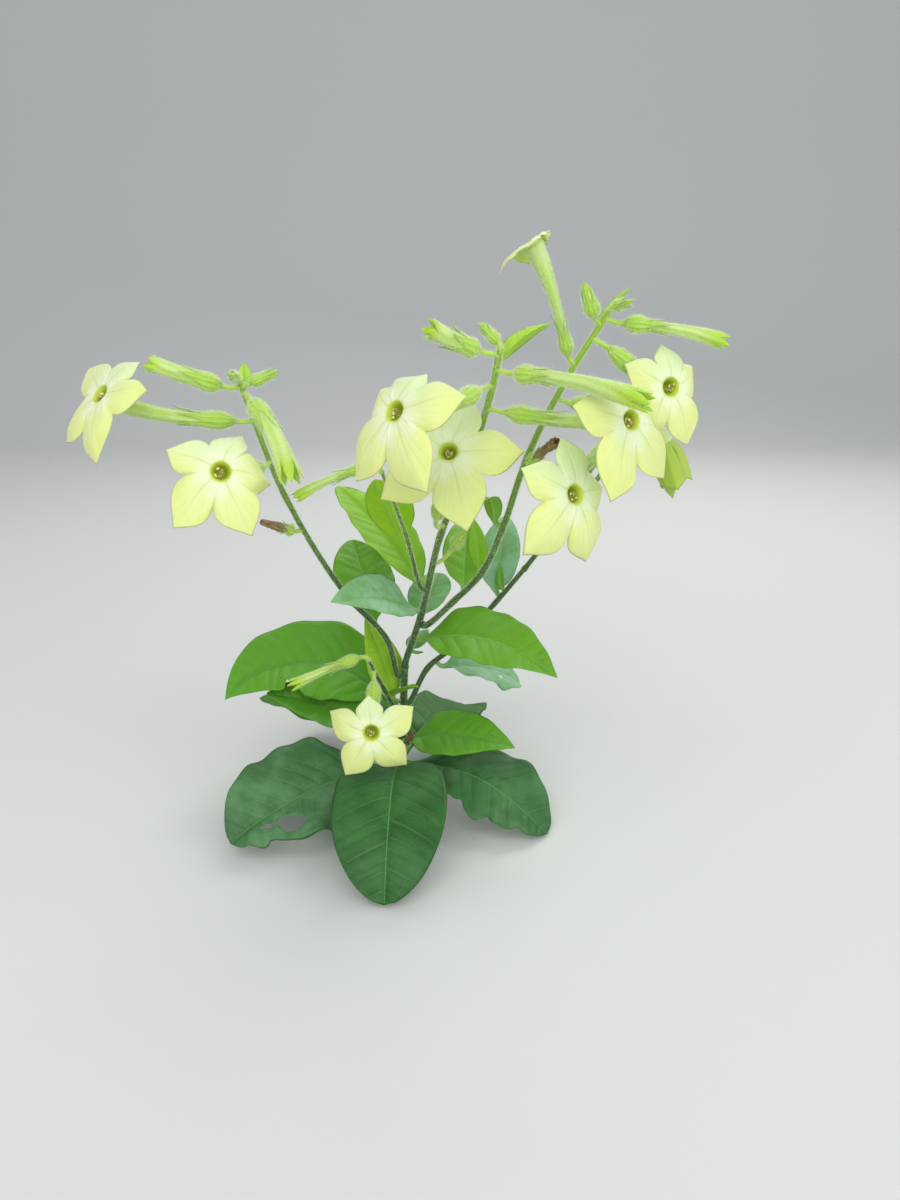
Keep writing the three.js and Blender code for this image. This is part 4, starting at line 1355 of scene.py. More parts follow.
# What lies on a lobe's face, in millimetres: the crease down its middle and its width, the swelling between
# throat and tip, the curl of the tip, the frill of the margin, the dip into the throat, the rise at the cleft
CREASE = 0.35
CREASE_WIDTH = 0.9
LOBE_SWELL = 0.5
TIP_CURL = 2.4
MARGIN_FRILL = 0.3
THROAT_DIP = 0.5
CLEFT_RISE = 0.55
LOBE_LEAN = 0.15  # how steeply a lobe leans to one side at most, as a slope


class Star:
    """The face of one flower: its mouth, where its lobes are, and the number that shifts its colours."""

    def __init__(self, name, mouth):
        flower = FLOWERS[name]
        self.mouth = mouth
        random = np.random.default_rng(sum(map(ord, name)))
        # The flower that hangs is fading, and a number above 1 says so
        self.seed = random.uniform() + (name == "flower_hanging")
        self.look = direction(*flower["face"])
        self.right = unit(np.cross(self.look, UP))
        self.top = np.cross(self.right, self.look)
        self.angle = np.linspace(0, 2 * np.pi, LOBES * LOBE_STEPS, endpoint=False)[None, :]
        turn = LOBES * self.angle / (2 * np.pi)
        self.turned = self.angle + math.radians(flower["turn"])
        self.aside = turn - np.round(turn)
        self.offset = np.abs(self.aside) * 2
        lobe = np.mod(np.round(turn), LOBES).astype(int)
        longer, bent, swung = np.array(LOBE_WAYS[name], float).T
        self.bent = (bent + random.uniform(-4, 4, LOBES))[lobe]
        self.swung = np.radians(swung)[lobe]
        self.curl = random.uniform(-0.3, 1.0, LOBES)[lobe]
        self.lean = random.uniform(-1, 1, LOBES)[lobe]
        self.swell = random.uniform(0.2, 1.0, LOBES)[lobe]
        self.phase = random.uniform(0, 6, LOBES)[lobe]
        self.fold = random.uniform(-0.02, 0.26, LOBES)[lobe]
        self.own = 1 - self.offset**4
        low = 0.5 - 0.5 * np.cos(self.turned)
        self.reach = flower["reach"] * mix(UPPER_LOBES, 1, low)
        self.reach = self.reach * lobe_outline(self.offset) * mix(1, longer[lobe], self.own)
        self.reflex = np.radians(flower["reflex"])
        self.cup = flower.get("cup", 1)

    def height(self, share, across):
        """How high the face stands at a share of the way out and so many millimetres off a lobe's middle."""
        aside, offset, own = self.aside, self.offset, self.own
        lift = -CREASE * np.exp(-((across / CREASE_WIDTH) ** 2)) * smooth(share / 0.25) * (1 - 0.6 * share)
        lift = lift + LOBE_SWELL * self.swell * np.sin(np.pi * share) * (1 - offset**2)
        lift = lift - TIP_CURL * self.curl * smooth((share - 0.66) / 0.34) * (1 - offset)
        lift = lift + (LOBE_LEAN * self.lean * across + self.fold * np.abs(across)) * own * share**2
        frill = np.sin(share * 9 + self.phase + 2.5 * np.sign(aside))
        at_edge = smooth((offset - 0.35) / 0.5) * smooth((share - 0.35) / 0.3)
        lift = lift + MARGIN_FRILL * frill * at_edge * own**0.3
        lift = lift - THROAT_DIP * np.exp(-share / 0.03)
        return lift + CLEFT_RISE * smooth((offset - 0.66) / 0.34) * np.exp(-(((share - 0.3) / 0.2) ** 2))

    def limb(self, share, depth):
        """Points at shares from the throat to the rim, depth under the face."""
        share = np.array(share)[:, None]
        spread = self.aside * 2 * np.pi / LOBES
        out = mix(THROAT_RADIUS, self.reach, share)
        back = self.reflex * share**self.cup + np.radians(self.bent) * self.own * share**3
        tilt = back * LOBE_TILT
        lift = self.height(share, out * np.sin(spread)) - out * np.sin(back) * share - depth * np.cos(tilt)
        flat = out * np.cos(back) - depth * np.sin(tilt)
        middle = self.turned - spread + self.swung * (1 - self.offset**2) * smooth(share / 0.8)
        ahead, beside = flat * np.cos(spread), mix(flat, out, self.own) * np.sin(spread)
        right = ahead * np.sin(middle) + beside * np.cos(middle)
        top = ahead * np.cos(middle) - beside * np.sin(middle)
        return self.placed(right, top, lift)

    def throat(self, depths, bores):
        """Rings down into the throat, each so deep and so wide in shares of its depth and radius."""
        radius = THROAT_RADIUS * bores
        behind = (THROAT_DEPTH * depths + THROAT_START) * np.ones_like(self.turned)
        return self.placed(radius * np.sin(self.turned), radius * np.cos(self.turned), -behind)

    def placed(self, right, top, ahead):
        """Points so far to the right, to the top and ahead of the mouth, as the flower looks."""
        flat = right[..., None] * self.right + top[..., None] * self.top
        return self.mouth + flat + ahead[..., None] * self.look


print("a star has", LOBES * LOBE_STEPS, "points round")

# %% [markdown]
# The tube widens slowly where it leaves the calyx and faster before the mouth. A spun profile would make it
# straight, but this one turns to face the way that the star looks, so its rings ride on a bent line.

# %% Tube rule
TUBE_RADIUS = 3.2
TUBE_FLARE = 0.8
TUBE_RIBS = 0.03  # this and the next in shares of the radius
TUBE_WAVER = 0.012
TUBE_ROWS = 20
TUBE_END = 0.93  # share of the line at which the star's underside takes over
MOUTH_RADIUS = 5.2
MOUTH_TURN = 0.34  # how far before the mouth the tube turns to face it, in shares of its length


def tube_radius(part, slim):
    """The radius from the calyx, part 0, to the mouth, part 1. A slim tube starts thinner."""
    flare = mix(TUBE_FLARE, 1, smooth((part - 0.75) / 0.2))
    return mix(TUBE_RADIUS * slim, MOUTH_RADIUS, smooth(part) * flare)


print("a flower's tube opens from", TUBE_RADIUS, "to", tube_radius(1.0, 1), "mm in radius")

# %% [markdown]
# A flower is one skin, as its petals are one piece. It runs up the outside of the tube from inside the calyx,
# out under the lobes, round their rim, back over their faces and down the throat's wall to its floor, so the
# flower is right from behind as well. Pieces of their own would show a seam at the mouth. Four finishes share
# the skin instead, and each row of faces picks one.

# %% Flower rule
# Rows of the star, as shares from the throat to the rim, and how far the underside is under the face there
UNDER_SHARES = [0.07, 0.12, 0.2, 0.3, 0.42, 0.55, 0.68, 0.8, 0.9, 0.97]
UNDER_DEPTHS = [1.9, 1.2, 0.8, 0.6, 0.55, 0.5, 0.5, 0.45, 0.4, 0.3]
RIM_DEPTH = 0.25
FACE_SHARES = [0.97, 0.92, 0.86, 0.79, 0.72, 0.64, 0.56, 0.48, 0.4, 0.32, 0.24, 0.17, 0.11, 0.06, 0.02]
# Rows of the throat, as shares of its depth, and its width there
THROAT_DEPTHS = [0.05, 0.12, 0.22, 0.38, 0.6, 0.85, 1]
THROAT_BORES = [0.96, 0.9, 0.82, 0.7, 0.56, 0.36, 0]


def make_flower(name):
    """The petal skin, the calyx and the stalk of one flower, and its star."""
    flower = FLOWERS[name]
    way, tube = direction(flower["heading"], flower["rise"]), flower["tube"]
    stalk = Stalk(flower, way)
    star = Star(name, stalk.foot + way * tube)
    stalk_piece = stalk.piece(name, star.seed)
    curve = bend(stalk.foot, star.mouth - star.look * tube * MOUTH_TURN, star.mouth)
    line = Line(curve, np.linspace(0, 1, len(curve)), star.top)
    calyx_end = flower.get("calyx", CALYX_LENGTH) / tube

    def part_of(share):
        return np.clip((share - calyx_end) / (1 - calyx_end), 0, 1)

    def inside(share):
        return tube_radius(part_of(share), flower.get("slim", 1))

    tube_share = np.linspace(calyx_end * 0.4, TUBE_END, TUBE_ROWS)[:, None]
    ribs = TUBE_RIBS * np.cos(LOBES * star.angle) * smooth(part_of(tube_share) * 3)
    waver = TUBE_WAVER * np.sin(3 * star.angle + 9 * tube_share)
    depths, bores = np.array(THROAT_DEPTHS)[:, None], np.array(THROAT_BORES)[:, None]
    rings = np.concatenate([
        line.pole(calyx_end * 0.35, LOBES * LOBE_STEPS),
        line.ring(tube_share, star.turned, inside(tube_share) * (1 + ribs + waver)),
        star.limb(UNDER_SHARES, np.array(UNDER_DEPTHS)[:, None]),
        star.limb([1], RIM_DEPTH),
        star.limb(FACE_SHARES, 0),
        star.throat(depths, bores),
    ])
    # A row's share is below 0 on the tube and in the throat, and above 0 on the star
    share = [[-1], np.linspace(-1, 0, TUBE_ROWS), UNDER_SHARES, [1], FACE_SHARES, -depths[:, 0]]
    share = np.concatenate(share)[:, None]
    out = np.where(share > 0, mix(THROAT_RADIUS, star.reach, share), 4)
    across = out * np.sin(star.aside * 2 * np.pi / LOBES)
    place = (star.offset, share, 0.5 + 0.5 * np.cos(star.turned))
    finishes = [tube_lime, petal_under, petal_face, throat_olive]
    counts = [TUBE_ROWS, len(UNDER_SHARES), 1 + len(FACE_SHARES), len(depths)]
    picks = np.repeat([0, 1, 2, 3], counts)[:, None]
    petals = skin(name, rings, place, (across, 0, star.seed), finishes, picks)
    girth = CALYX_RADIUS * flower.get("girth", 1)
    calyx = make_calyx(name, line, calyx_end, girth, inside, star.seed)
    return petals, calyx, stalk_piece, star


print("a flower's skin has", 2 + TUBE_ROWS + len(UNDER_SHARES + FACE_SHARES + THROAT_DEPTHS), "rows")

# %% [markdown]
# Ribs run along the tube, the calyx and the buds alike, so the stripe between them is a shared pattern. It
# reads where a point lies between two ribs and breaks the stripe up a little, as hairs and veins do.

# %% Shared pattern: ribs
sheet, given, result = new_group("ribs", {"Low": 0.2, "High": 0.8}, ["Stripe", "Height"])
offset = sheet.parts("place")[0]
stray = sheet.noise(sheet.where(), 900.0, 2.0)
value = sheet.math("ADD", offset, sheet.times(sheet.math("SUBTRACT", stray, 0.5), 0.5))
stripe = sheet.step(value, given["Low"], given["High"])
sheet.tree.links.new(stripe, result["Stripe"])
fine = sheet.noise(sheet.where(), 3000.0, 2.0)
sheet.tree.links.new(sheet.math("ADD", stripe, sheet.times(fine, 0.6)), result["Height"])
ribs_group = sheet.tree
print("the ribs group has", len(ribs_group.nodes), "nodes")

# %% [markdown]
# The calyx is a fresh green that is lighter on its ribs and darker at the tips of its teeth. The tube is
# paler, and paler still towards its mouth. Fine down gives both a soft sheen, and a little light passes
# through them. A plain green would look like plastic, so both finishes mix four greens by rib, place and
# patch.

# %% Calyx finish
CALYX_GROOVE = (0.34, 0.58, 0.04)
CALYX_RIB = (0.43, 0.65, 0.07)
CALYX_PATCH = (0.48, 0.68, 0.12)
CALYX_TIP = (0.2, 0.44, 0.02)

calyx_green, sheet, shader = new_finish("calyx_green")
pattern = sheet.group(ribs_group, Low=0.05, High=1.0)
marks = sheet.group(mottle, Size=5.0)
edge = sheet.parts("place")[1]
green = sheet.blend(pattern["Stripe"], CALYX_GROOVE, CALYX_RIB)
green = sheet.blend(sheet.times(marks[0], 0.35), green, CALYX_PATCH)
green = sheet.blend(sheet.step(edge, 0.7, 1.0, 0.0, 0.3), green, CALYX_TIP)
roughness = sheet.step(marks[1], 0.2, 0.8, 0.45, 0.7)
apply_finish(sheet, shader, green, roughness, pattern["Height"], 0.0003,
             Subsurface_Weight=0.12, Subsurface_Scale=0.001, Subsurface_Radius=(0.6, 1.0, 0.2),
             Sheen_Weight=0.35, Sheen_Roughness=0.4)

# %% Tube finish
TUBE_RIB = (0.44, 0.64, 0.12)
TUBE_BETWEEN = (0.54, 0.72, 0.2)
TUBE_MOUTH = (0.62, 0.77, 0.3)
TUBE_PATCH = (0.62, 0.78, 0.36)
# Light passes through the thin petal of tubes and buds
THIN_PETAL = dict(
    Subsurface_Weight=0.2, Subsurface_Scale=0.0012, Subsurface_Radius=(0.8, 1.0, 0.3), Sheen_Roughness=0.4,
)

tube_lime, sheet, shader = new_finish("tube_lime")
pattern = sheet.group(ribs_group, Low=0.25, High=0.95)
share = sheet.parts("place")[1]
marks = sheet.group(mottle, Size=6.0)
green = sheet.blend(pattern["Stripe"], TUBE_RIB, TUBE_BETWEEN)
green = sheet.blend(sheet.step(share, -0.45, 0.0), green, TUBE_MOUTH)
green = sheet.blend(sheet.times(marks[0], 0.3), green, TUBE_PATCH)
apply_finish(sheet, shader, green, 0.55, pattern["Height"], 0.0003, Sheen_Weight=0.4, **THIN_PETAL)

# %% [markdown]
# The lobes are velvety and pale lime, more yellow towards their tips. A whitish star lies round the throat
# and reaches out to the clefts, a fine green line runs down each lobe's middle with fainter veins beside it,
# and the upper lobes are painted cooler, for the shade that they lie in. Behind, the lobes are greener with a
# stout middle vein. The flower that hangs is fading and has turned a deep lime. An image would need the
# petals unwrapped, so the marks are drawn from how far out and how far off its lobe's middle a point is. One
# function writes both sides.

# %% Petal finishes
FADING = (0.36, 0.53, 0.015)
PETAL_FINISHES = {
    "petal_face": dict(
        tip=(0.66, 0.73, 0.23), middle=(0.68, 0.76, 0.33), star=(0.74, 0.81, 0.52),
        line_colour=(0.54, 0.66, 0.2), painted_shade_tint=(0.62, 0.77, 0.5), line_depth=0.25,
    ),
    "petal_under": dict(
        tip=(0.58, 0.73, 0.18), middle=(0.6, 0.75, 0.26), star=(0.58, 0.74, 0.3),
        line_colour=(0.4, 0.6, 0.1), painted_shade_tint=(0.58, 0.75, 0.34), line_depth=0.7,
    ),
}


def petal_finish(name, tip, middle, star, line_colour, painted_shade_tint, line_depth):
    finish, sheet, shader = new_finish(name)
    offset, share, height_share = sheet.parts("place")
    across, _, seed = sheet.parts("spot")
    marks = sheet.group(mottle, Size=7.0)
    base = sheet.blend(sheet.step(share, 0.3, 1.0), middle, tip)
    base = sheet.blend(sheet.times(marks[0], 0.5), base, middle)
    base = sheet.blend(sheet.step(seed, 0.3, 1.0, 0.0, 0.5), base, tip)
    # Painted shade: the upper lobes take a cooler tint
    base = sheet.blend(sheet.step(height_share, 0.55, 1.0, 0.0, 0.6), base, painted_shade_tint)
    inner = sheet.math("SUBTRACT", share, sheet.times(offset, 0.42))
    inner = sheet.math("MULTIPLY_ADD", marks[0], 0.12, inner)
    base = sheet.blend(sheet.step(inner, 0.0, 0.4, 1.0, 0.0), base, star)
    base = sheet.blend(sheet.step(seed, 1.0, 1.05, 0.0, 0.8), base, FADING)
    fan = sheet.math("SINE", sheet.times(sheet.math("POWER", offset, 0.8), 26.0))
    stray = sheet.noise(sheet.where(), 420.0, 3.0)
    fan = sheet.step(sheet.math("ADD", fan, stray), 0.9, 1.5)
    middle_line = sheet.step(sheet.math("ABSOLUTE", across), 0.16, 0.5, 1.0, 0.0)
    middle_line = sheet.times(middle_line, sheet.step(share, 0.1, 0.98, 1.0, 0.2))
    base = sheet.blend(sheet.times(fan, 0.09), base, line_colour)
    base = sheet.blend(sheet.times(middle_line, line_depth), base, line_colour)
    base = sheet.blend(sheet.step(share, 0.0, 0.1, 0.7, 0.0), base, line_colour)
    height = sheet.math("MULTIPLY_ADD", fan, -0.3, sheet.times(marks[1], 0.4))
    height = sheet.math("MULTIPLY_ADD", middle_line, -0.5, height)
    apply_finish(sheet, shader, base, 0.62, height, 0.00018,
                 Subsurface_Weight=0.25, Subsurface_Scale=0.0015, Subsurface_Radius=(1.0, 1.0, 0.4),
                 Sheen_Weight=0.25, Sheen_Roughness=0.5)
    return finish


petal_face, petal_under = [petal_finish(name, **recipe) for name, recipe in PETAL_FINISHES.items()]

# %% [markdown]
# The throat is an olive hollow. Its olive is its own, but soft light alone wouldn't leave it so dark, so its
# finish adds painted shade, darkest at the floor and paling towards the lip.

# %% Throat finish
THROAT_FLOOR_SHADE = (0.32, 0.4, 0.02)
THROAT_LIP = (0.52, 0.64, 0.05)
THROAT_PATCH = (0.36, 0.44, 0.03)

throat_olive, sheet, shader = new_finish("throat_olive")
share = sheet.parts("place")[1]
marks = sheet.group(mottle, Size=2.0)
# Painted shade: darker towards the throat's floor
olive = sheet.blend(sheet.step(share, -0.5, 0.0), THROAT_FLOOR_SHADE, THROAT_LIP)
olive = sheet.blend(sheet.times(marks[0], 0.25), olive, THROAT_PATCH)
apply_finish(sheet, shader, olive, 0.5, marks[1], 0.0002)

# %% [markdown]
# The stars are joined into one piece. The calyces and stalks wait for those of the buds, because all of them
# are alike and share one finish.

# %% Flowers
made = [make_flower(name) for name in FLOWERS]
stars = [star for *_, star in made]
calyx_pieces = [piece for flower in made for piece in flower[1:3]]
flowers = joined("flower_stars", [flower[0] for flower in made])
dress(flowers, "bloom", *FLOWERS)

# %% [markdown]
# ## Buds
#
# A bud is a calyx with the folded petals standing out of it. They are wound round each other, so a closed tip
# has five slanting pleats. On a bud that is about to open, the tip has parted into five narrow points, and it
# is the most vivid lime of all. Seed pods are old flowers: a drying calyx with the shrivelled brown tube
# still in it. One rule makes all three, because they differ mostly in girth, finish and how far they have
# parted. Its values come first.

# %% Bud shapes
BUD_CALYX = 0.5  # the share that a calyx covers at most, where a bud is about to open
CLOSED_CALYX = 0.78
POD_CALYX = 0.32
BUD_CALYX_GIRTH = 1.15  # in shares of the head's
POD_CALYX_GIRTH = 1.6
# Girths in shares of the head: a young bud along its whole length, then the tube of a pod and of an opening
# bud from the calyx on, where an opening bud's goes from its slimmest to its fullest
CLOSED = [(0, 0.5), (0.2, 0.8), (0.45, 0.85), (0.62, 0.78), (0.78, 0.6), (0.9, 0.36), (0.97, 0.16), (1, 0)]
FADED = [(0, 0.95), (0.4, 1), (0.85, 0.82), (1, 0.5)]
OPENING = [(0, 0), (0.15, 0.05), (0.4, 0.35), (0.65, 0.85), (0.8, 1.0), (1, 0.75)]
# Where the five lobes of a bud that is about to open part, how far they spread, how much they are wound, and
# how slim the tube is where it leaves the calyx
SPLIT_TIPS = {
    "bud_left_long": (0.85, 0.0, 0.5, 0.9),
    "bud_left_hanging": (0.76, 0.2, 0.55, 0.84),
    "bud_axil": (0.9, -0.1, 0.4, 0.66),
    "bud_centre_left": (0.8, 0.15, 0.6, 0.9),
    "bud_centre_right": (0.85, -0.05, 1.4, 0.66),
    "bud_right_long": (0.87, 0.0, 0.7, 0.66),
    "bud_shoot": (0.84, 0.15, 0.5, 0.66),
    "pod_right": (0.9, -0.1, 0.5, 0.9),
}
WHOLE_TIP = (1, 0, 1.2, 0)  # the same for a tip that hasn't parted
TIP_DEPTH = 0.12  # how far below the parting a parted tip is hollow
TIP_WALL = 0.35
POD_CREASES = (0.16, 0.1)  # the height of a pod's broad and fine creases, in shares of its radius
BUD_ROWS = 36
BUD_ROUND = 50
print(len(BUDS), "buds and pods, of which", len(SPLIT_TIPS), "have parted tips")

# %% [markdown]
# A bud's line bends halfway, down under its weight or up to the light. The skin over it is a stack of rings
# again. A parted tip turns inwards at its rim and closes a little way down, so it is hollow and still one
# closed skin. The pleats are wound by turning each ring further than the one before.

# %% Bud rule
def bud_line(name):
    """The bud's stalk, its bent line and the share of that line that its calyx covers."""
    bud = BUDS[name]
    way = direction(bud["heading"], bud["rise"])
    stalk = Stalk(bud, way)
    middle = stalk.foot + way * bud["length"] / 2
    tip = middle + direction(bud["heading"], bud["rise"] - bud["hang"]) * bud["length"] / 2
    curve = bend(stalk.foot, middle, tip)
    line = Line(curve, np.linspace(0, 1, len(curve)))
    if name.startswith("pod"):
        return stalk, line, POD_CALYX
    if name not in SPLIT_TIPS:
        return stalk, line, CLOSED_CALYX
    return stalk, line, min(CALYX_LENGTH / bud["length"], BUD_CALYX)


def make_bud(name):
    """The folded petals, the calyx and the stalk of one bud or pod."""
    bud = BUDS[name]
    random = np.random.default_rng(sum(map(ord, name)))
    seed = random.uniform()
    stalk, line, calyx_end = bud_line(name)
    parting, spread, winding, slim = SPLIT_TIPS.get(name, WHOLE_TIP)
    split = name in SPLIT_TIPS
    pod = name.startswith("pod")
    places, girths = np.array(OPENING if split else FADED if pod else CLOSED).T
    girths = mix(slim, 1, girths) if split else girths
    start = calyx_end if split or pod else 0

    def part_of(share):
        return np.clip((share - start) / (1 - start), 0, 1)

    def head(share):
        return bud["head"] * np.interp(part_of(share), places, girths)

    row = np.linspace(0, 1, BUD_ROWS)[:, None]
    angle = np.linspace(0, 2 * np.pi, BUD_ROUND, endpoint=False)[None, :]
    turn = LOBES * angle / (2 * np.pi)
    lobe = np.round(turn).astype(int) % LOBES
    pleat = 1 - np.abs(turn - np.round(turn)) * 2
    reach = 1 - random.uniform(0, 0.05, LOBES)[lobe] * split
    share = mix(calyx_end * 0.5, mix(parting, reach, pleat.clip(0) ** 0.5), row)
    part = part_of(share)
    beyond = np.clip((share - parting) / max(1 - parting, 0.01), 0, 1)
    fan = (spread + random.uniform(-0.12, 0.14, LOBES)[lobe] * split) * beyond**1.3
    radius = head(share) * (1 + mix(0.02, 0.13, smooth((part - 0.5) / 0.4)) * (pleat - 0.5) + fan)
    if pod:
        broad, fine = np.sin(4 * angle + 17 * share), np.sin(7 * angle - 29 * share)
        radius = radius * (1 + POD_CREASES[0] * broad + POD_CREASES[1] * fine)
    wound = angle + winding * smooth((part - 0.3) / 0.7)
    outer = line.ring(share, wound, radius)
    rings = [line.pole(calyx_end * 0.45, BUD_ROUND), outer]
    if split:
        low = share[-1:] * 0 + parting - TIP_DEPTH * (1 - calyx_end)
        rings.append(line.ring(share[-1:] - 0.002, wound[-1:], np.maximum(radius[-1:] - TIP_WALL, 0.05)))
        rings.append(line.ring(low, wound[-1:], head(low) * 0.55))
        rings.append(line.pole(low[0, 0], BUD_ROUND))
    else:
        outer[-1] = outer[-1].mean(axis=0)
    rings = np.concatenate(rings)
    place = (pleat, padded(part, 1, len(rings) - 1 - BUD_ROWS), 0)
    petals = skin(name, rings, place, (0, 0, seed), [withered if pod else bud_lime])
    girth = min(bud["head"] * (POD_CALYX_GIRTH if pod else BUD_CALYX_GIRTH), CALYX_RADIUS)
    calyx = make_calyx(name, line, calyx_end, girth, head, seed)
    return petals, calyx, stalk.piece(name, seed)


# %% [markdown]
# A bud's pleats catch the light as the ribs do, so the rib pattern serves again. The green deepens to a vivid
# lime where the folded petals show. A withered tube is dry, so it has the same recipe in browns, rougher and
# without the glow of light inside it.

# %% Bud finish
BUD_GROOVE = (0.44, 0.62, 0.13)
BUD_PLEAT = (0.54, 0.71, 0.24)
BUD_PATCH = (0.56, 0.76, 0.24)
BUD_TIP = (0.4, 0.63, 0.004)

bud_lime, sheet, shader = new_finish("bud_lime")
pattern = sheet.group(ribs_group, Low=0.1, High=0.7)
part = sheet.parts("place")[1]
marks = sheet.group(mottle, Size=5.0)
green = sheet.blend(pattern["Stripe"], BUD_GROOVE, BUD_PLEAT)
green = sheet.blend(sheet.times(marks[0], 0.25), green, BUD_PATCH)
green = sheet.blend(sheet.step(part, 0.5, 0.85, 0.0, 0.95), green, BUD_TIP)
apply_finish(sheet, shader, green, 0.5, pattern["Height"], 0.0003, Sheen_Weight=0.35, **THIN_PETAL)

# %% Withered finish
WITHERED_DARK = (0.3, 0.19, 0.07)
WITHERED_PALE = (0.46, 0.33, 0.15)
WITHERED_FOOT = (0.4, 0.42, 0.14)
WITHERED_TIP = (0.12, 0.06, 0.03)
WITHERED_FOLD = (0.1, 0.06, 0.03)

withered, sheet, shader = new_finish("withered")
pattern = sheet.group(ribs_group, Low=0.1, High=0.7)
part = sheet.parts("place")[1]
marks = sheet.group(mottle, Size=4.0)
brown = sheet.blend(marks[0], WITHERED_DARK, WITHERED_PALE)
brown = sheet.blend(sheet.step(part, 0.0, 0.35, 0.6, 0.0), brown, WITHERED_FOOT)
brown = sheet.blend(sheet.step(part, 0.85, 1.0, 0.0, 0.6), brown, WITHERED_TIP)
brown = sheet.blend(sheet.times(pattern["Stripe"], 0.4), brown, WITHERED_FOLD)
apply_finish(sheet, shader, brown, 0.75, pattern["Height"], 0.0005)

# %% [markdown]
# Buds and pods become two pieces, because their finishes differ. All the calyces and stalks, those of the
# flowers too, become one.

# %% Buds and pods
made = {name: make_bud(name) for name in BUDS}
pod_names = [name for name in BUDS if name.startswith("pod")]
bud_names = [name for name in BUDS if name not in pod_names]
buds = joined("bud_heads", [made[name][0] for name in bud_names])
dress(buds, "bud", *bud_names)
pods = joined("seed_pods", [made[name][0] for name in pod_names])
dress(pods, "pod", *pod_names)
calyces = joined("calyces", calyx_pieces + [piece for pieces in made.values() for piece in pieces[1:]])
dress(calyces, "bud")

# %% [markdown]
# ## Anthers
#
# Five anthers and the green stigma crowd in each throat. They are small, but they are what the eye meets in
# the middle of a star. One grain-shaped anther is modelled from a sphere, with the groove where it splits,
# and its points are copied for each.

# %% Anther
ANTHER_SIZE = (0.62, 1.05, 0.55)
ANTHER_GROOVE = 0.2  # half its width, in millimetres
GROOVE_FLOOR = 0.45

bpy.ops.mesh.primitive_uv_sphere_add(segments=10, ring_count=7, radius=MM)
anther_model = bpy.context.object
bpy.ops.transform.resize(value=ANTHER_SIZE)
bpy.ops.object.transform_apply(location=False, rotation=False, scale=True)
for vertex in anther_model.data.vertices:
    if vertex.co.z > 0 and abs(vertex.co.x) < ANTHER_GROOVE * MM:
        vertex.co.z *= GROOVE_FLOOR
grain = np.array([vertex.co for vertex in anther_model.data.vertices]) / MM
grain_faces = [tuple(face.vertices) for face in anther_model.data.polygons]
bpy.data.objects.remove(anther_model)
print("an anther has", len(grain_faces), "faces")


def plain_piece(name, points, faces, finish):
    """A piece straight from points in millimetres and the faces between them."""
    mesh = bpy.data.meshes.new(name)
    mesh.from_pydata(points * MM, [], faces)
    mesh.materials.append(finish)
    piece = bpy.data.objects.new(name, mesh)
    bpy.context.scene.collection.objects.link(piece)
    return piece


def grains(name, places, finish):
    """Copies of the grain at places, each (middle, across, along, out of the face, size)."""
    points, faces = [], []
    for middle, across, along, out, size in places:
        faces += [tuple(len(grain) * len(points) + corner for corner in face) for face in grain_faces]
        points.append(middle + size * (grain[:, :1] * across + grain[:, 1:2] * along + grain[:, 2:] * out))
    return joined(name, [plain_piece(name, np.concatenate(points), faces, finish)])


# %% [markdown]
# The anthers stand in a ring that is off the throat's middle, some deeper than others, and each is turned a
# little. Their pollen makes them cream, with brown where it has gone. The stigma is a darker, glossier grain
# in the middle.

# %% Anthers
ANTHER_RING = 1.95
ANTHER_DEPTH = 1.6
ANTHER_CREAM = (0.8, 0.76, 0.34)
ANTHER_BROWN = (0.36, 0.27, 0.07)

anther_cream, sheet, shader = new_finish("anther_cream")
marks = sheet.group(mottle, Size=2.5)
cream = sheet.blend(sheet.step(marks[0], 0.3, 0.6), ANTHER_CREAM, ANTHER_BROWN)
apply_finish(sheet, shader, cream, 0.7, marks[1], 0.0002)

places = []
for star in stars:
    random = np.random.default_rng(int(star.seed * 1e6))
    cluster = star.mouth + star.right * random.uniform(-0.5, 0.9) - star.top * random.uniform(0.2, 1.0)
    for number in range(LOBES):
        turn = 2 * np.pi * (number + 0.5) / LOBES + random.uniform(-0.4, 0.4)
        out = star.right * np.sin(turn) + star.top * np.cos(turn)
        middle = cluster + out * ANTHER_RING * random.uniform(0.45, 1.25)
        middle = middle - star.look * (ANTHER_DEPTH + random.uniform(-0.8, 0.8))
        along = unit(np.cross(star.look, out) + star.look * random.uniform(-0.4, 0.4))
        places.append((middle, unit(out + star.look * 0.3), along, star.look, 1))
anthers = grains("anthers", places, anther_cream)
dress(anthers, "bloom")

# %% Stigmas
STIGMA_SIZE = 0.8
STIGMA_DEPTH = 1.9
STIGMA_DARK = (0.2, 0.32, 0.05)
STIGMA_PALE = (0.34, 0.44, 0.1)

stigma_green, sheet, shader = new_finish("stigma_green")
marks = sheet.group(mottle, Size=0.6)
apply_finish(sheet, shader, sheet.blend(marks[0], STIGMA_DARK, STIGMA_PALE), 0.35, marks[1], 0.0002)

places = []
for star in stars:
    places.append((star.mouth - star.look * STIGMA_DEPTH, star.right, star.top, star.look, STIGMA_SIZE))
stigmas = grains("stigmas", places, stigma_green)
dress(stigmas, "bloom")

# %% [markdown]
# ## Hairs
#
# Short sticky hairs catch the light all over the stems, calyces, tubes and buds. Seen from a step away they
# are a pale edge round every stem. A particle system would be lost on export, so the hairs are thin
# three-sided spikes. A spike is a cone without its base, because the base would be under the skin.

# %% Hair
HAIR_GREEN = (0.72, 0.84, 0.5)
HAIR_WHITE = (0.92, 0.96, 0.78)

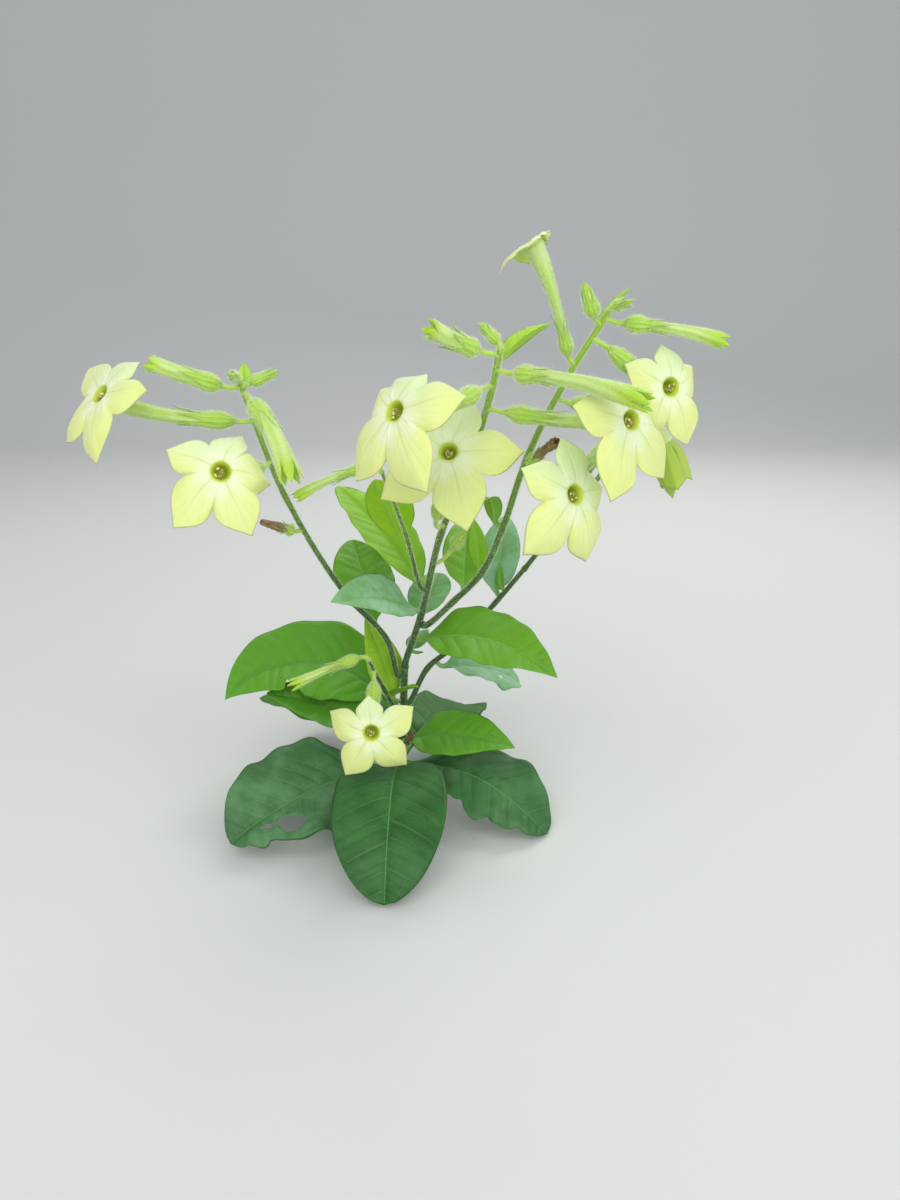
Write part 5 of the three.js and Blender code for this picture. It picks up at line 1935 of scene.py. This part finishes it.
bpy.ops.mesh.primitive_cone_add(vertices=3, radius1=1, depth=1, location=(0, 0, 0.5))
cone = bpy.context.object
bpy.ops.object.transform_apply()
spike = np.array([vertex.co for vertex in cone.data.vertices])
tip = spike[:, 2].argmax()
spike_faces = np.array([list(face.vertices) for face in cone.data.polygons if tip in face.vertices])
bpy.data.objects.remove(cone)

hair_pale, sheet, shader = new_finish("hair_pale")
marks = sheet.group(mottle, Size=3.0)
apply_finish(sheet, shader, sheet.blend(marks[0], HAIR_GREEN, HAIR_WHITE), 0.35)
print("a hair has", len(spike_faces), "faces")

# %% [markdown]
# The hairs are placed by a seeded draw over the triangles of a finished piece, a bigger one getting more of
# them. Each stands nearly square to its triangle and has its own length. One at a time they would take
# minutes, so all hairs of a piece are worked out as arrays.

# %% Hair rule
HAIR_RADIUS = 0.055
HAIR_ROOT = 0.05  # how deep a hair starts under its face
HAIR_LEAN = 0.25
LOW_HAIRS = 0.5  # share of the hairs that a face near the ground still has
SPARSE_BELOW = 60  # heights over the ground
DENSE_ABOVE = 260


def make_hairs(name, carrier, per_square, longest, keep=None):
    """Hairs on the carrier's faces, so many to a square millimetre, and up to longest millimetres long.

    keep lists the carrier's finishes that have hairs, where not all of them do.
    """
    random = np.random.default_rng(len(name))
    mesh = carrier.data
    mesh.calc_loop_triangles()
    corners = np.zeros(len(mesh.loop_triangles) * 3, int)
    mesh.loop_triangles.foreach_get("vertices", corners)
    finish = np.zeros(len(mesh.loop_triangles), int)
    mesh.loop_triangles.foreach_get("material_index", finish)
    points = np.zeros(len(mesh.vertices) * 3)
    mesh.vertices.foreach_get("co", points)
    triangles = points.reshape(-1, 3)[corners.reshape(-1, 3)] / MM
    if keep is not None:
        triangles = triangles[np.isin(finish, keep)]
    a, b, c = triangles[:, 0], triangles[:, 1], triangles[:, 2]
    normals = np.cross(b - a, c - a)
    closer = mix(LOW_HAIRS, 1, smooth((a[:, 2] - SPARSE_BELOW) / (DENSE_ABOVE - SPARSE_BELOW)))
    areas = np.linalg.norm(normals, axis=1) / 2 * closer
    count = int(areas.sum() * per_square)
    chosen = random.choice(len(areas), count, p=areas / areas.sum())
    u, v = random.uniform(size=(2, count, 1))
    u, v = np.where(u + v > 1, 1 - u, u), np.where(u + v > 1, 1 - v, v)
    roots = a[chosen] + u * (b - a)[chosen] + v * (c - a)[chosen]
    out = unit(unit(normals[chosen]) + random.normal(0, HAIR_LEAN, (count, 3)))
    side = square_to(random.normal(size=(count, 3)), out)
    other = np.cross(out, side)
    length = longest * random.uniform(0.35, 1, (count, 1, 1))
    across = spike[None, :, :1] * side[:, None] + spike[None, :, 1:2] * other[:, None]
    hairs = roots[:, None] + HAIR_RADIUS * across + (spike[None, :, 2:] * length - HAIR_ROOT) * out[:, None]
    hairs = np.maximum(hairs, [-np.inf, -np.inf, 0.0])
    faces = (spike_faces[None] + len(spike) * np.arange(count)[:, None, None]).reshape(-1, 3)
    print(name, "has", count, "hairs")
    return plain_piece(name, hairs.reshape(-1, 3), faces.tolist(), hair_pale)


# %% Hairs
dress(make_hairs("stem_hairs", stems, 4.0, 1.5), "stem")
dress(make_hairs("calyx_hairs", calyces, 3.0, 1.7), "bud")
dress(make_hairs("tube_hairs", flowers, 2.2, 1.4, keep=[0]), "bloom")
dress(make_hairs("bud_hairs", buds, 2.2, 1.3), "bud")
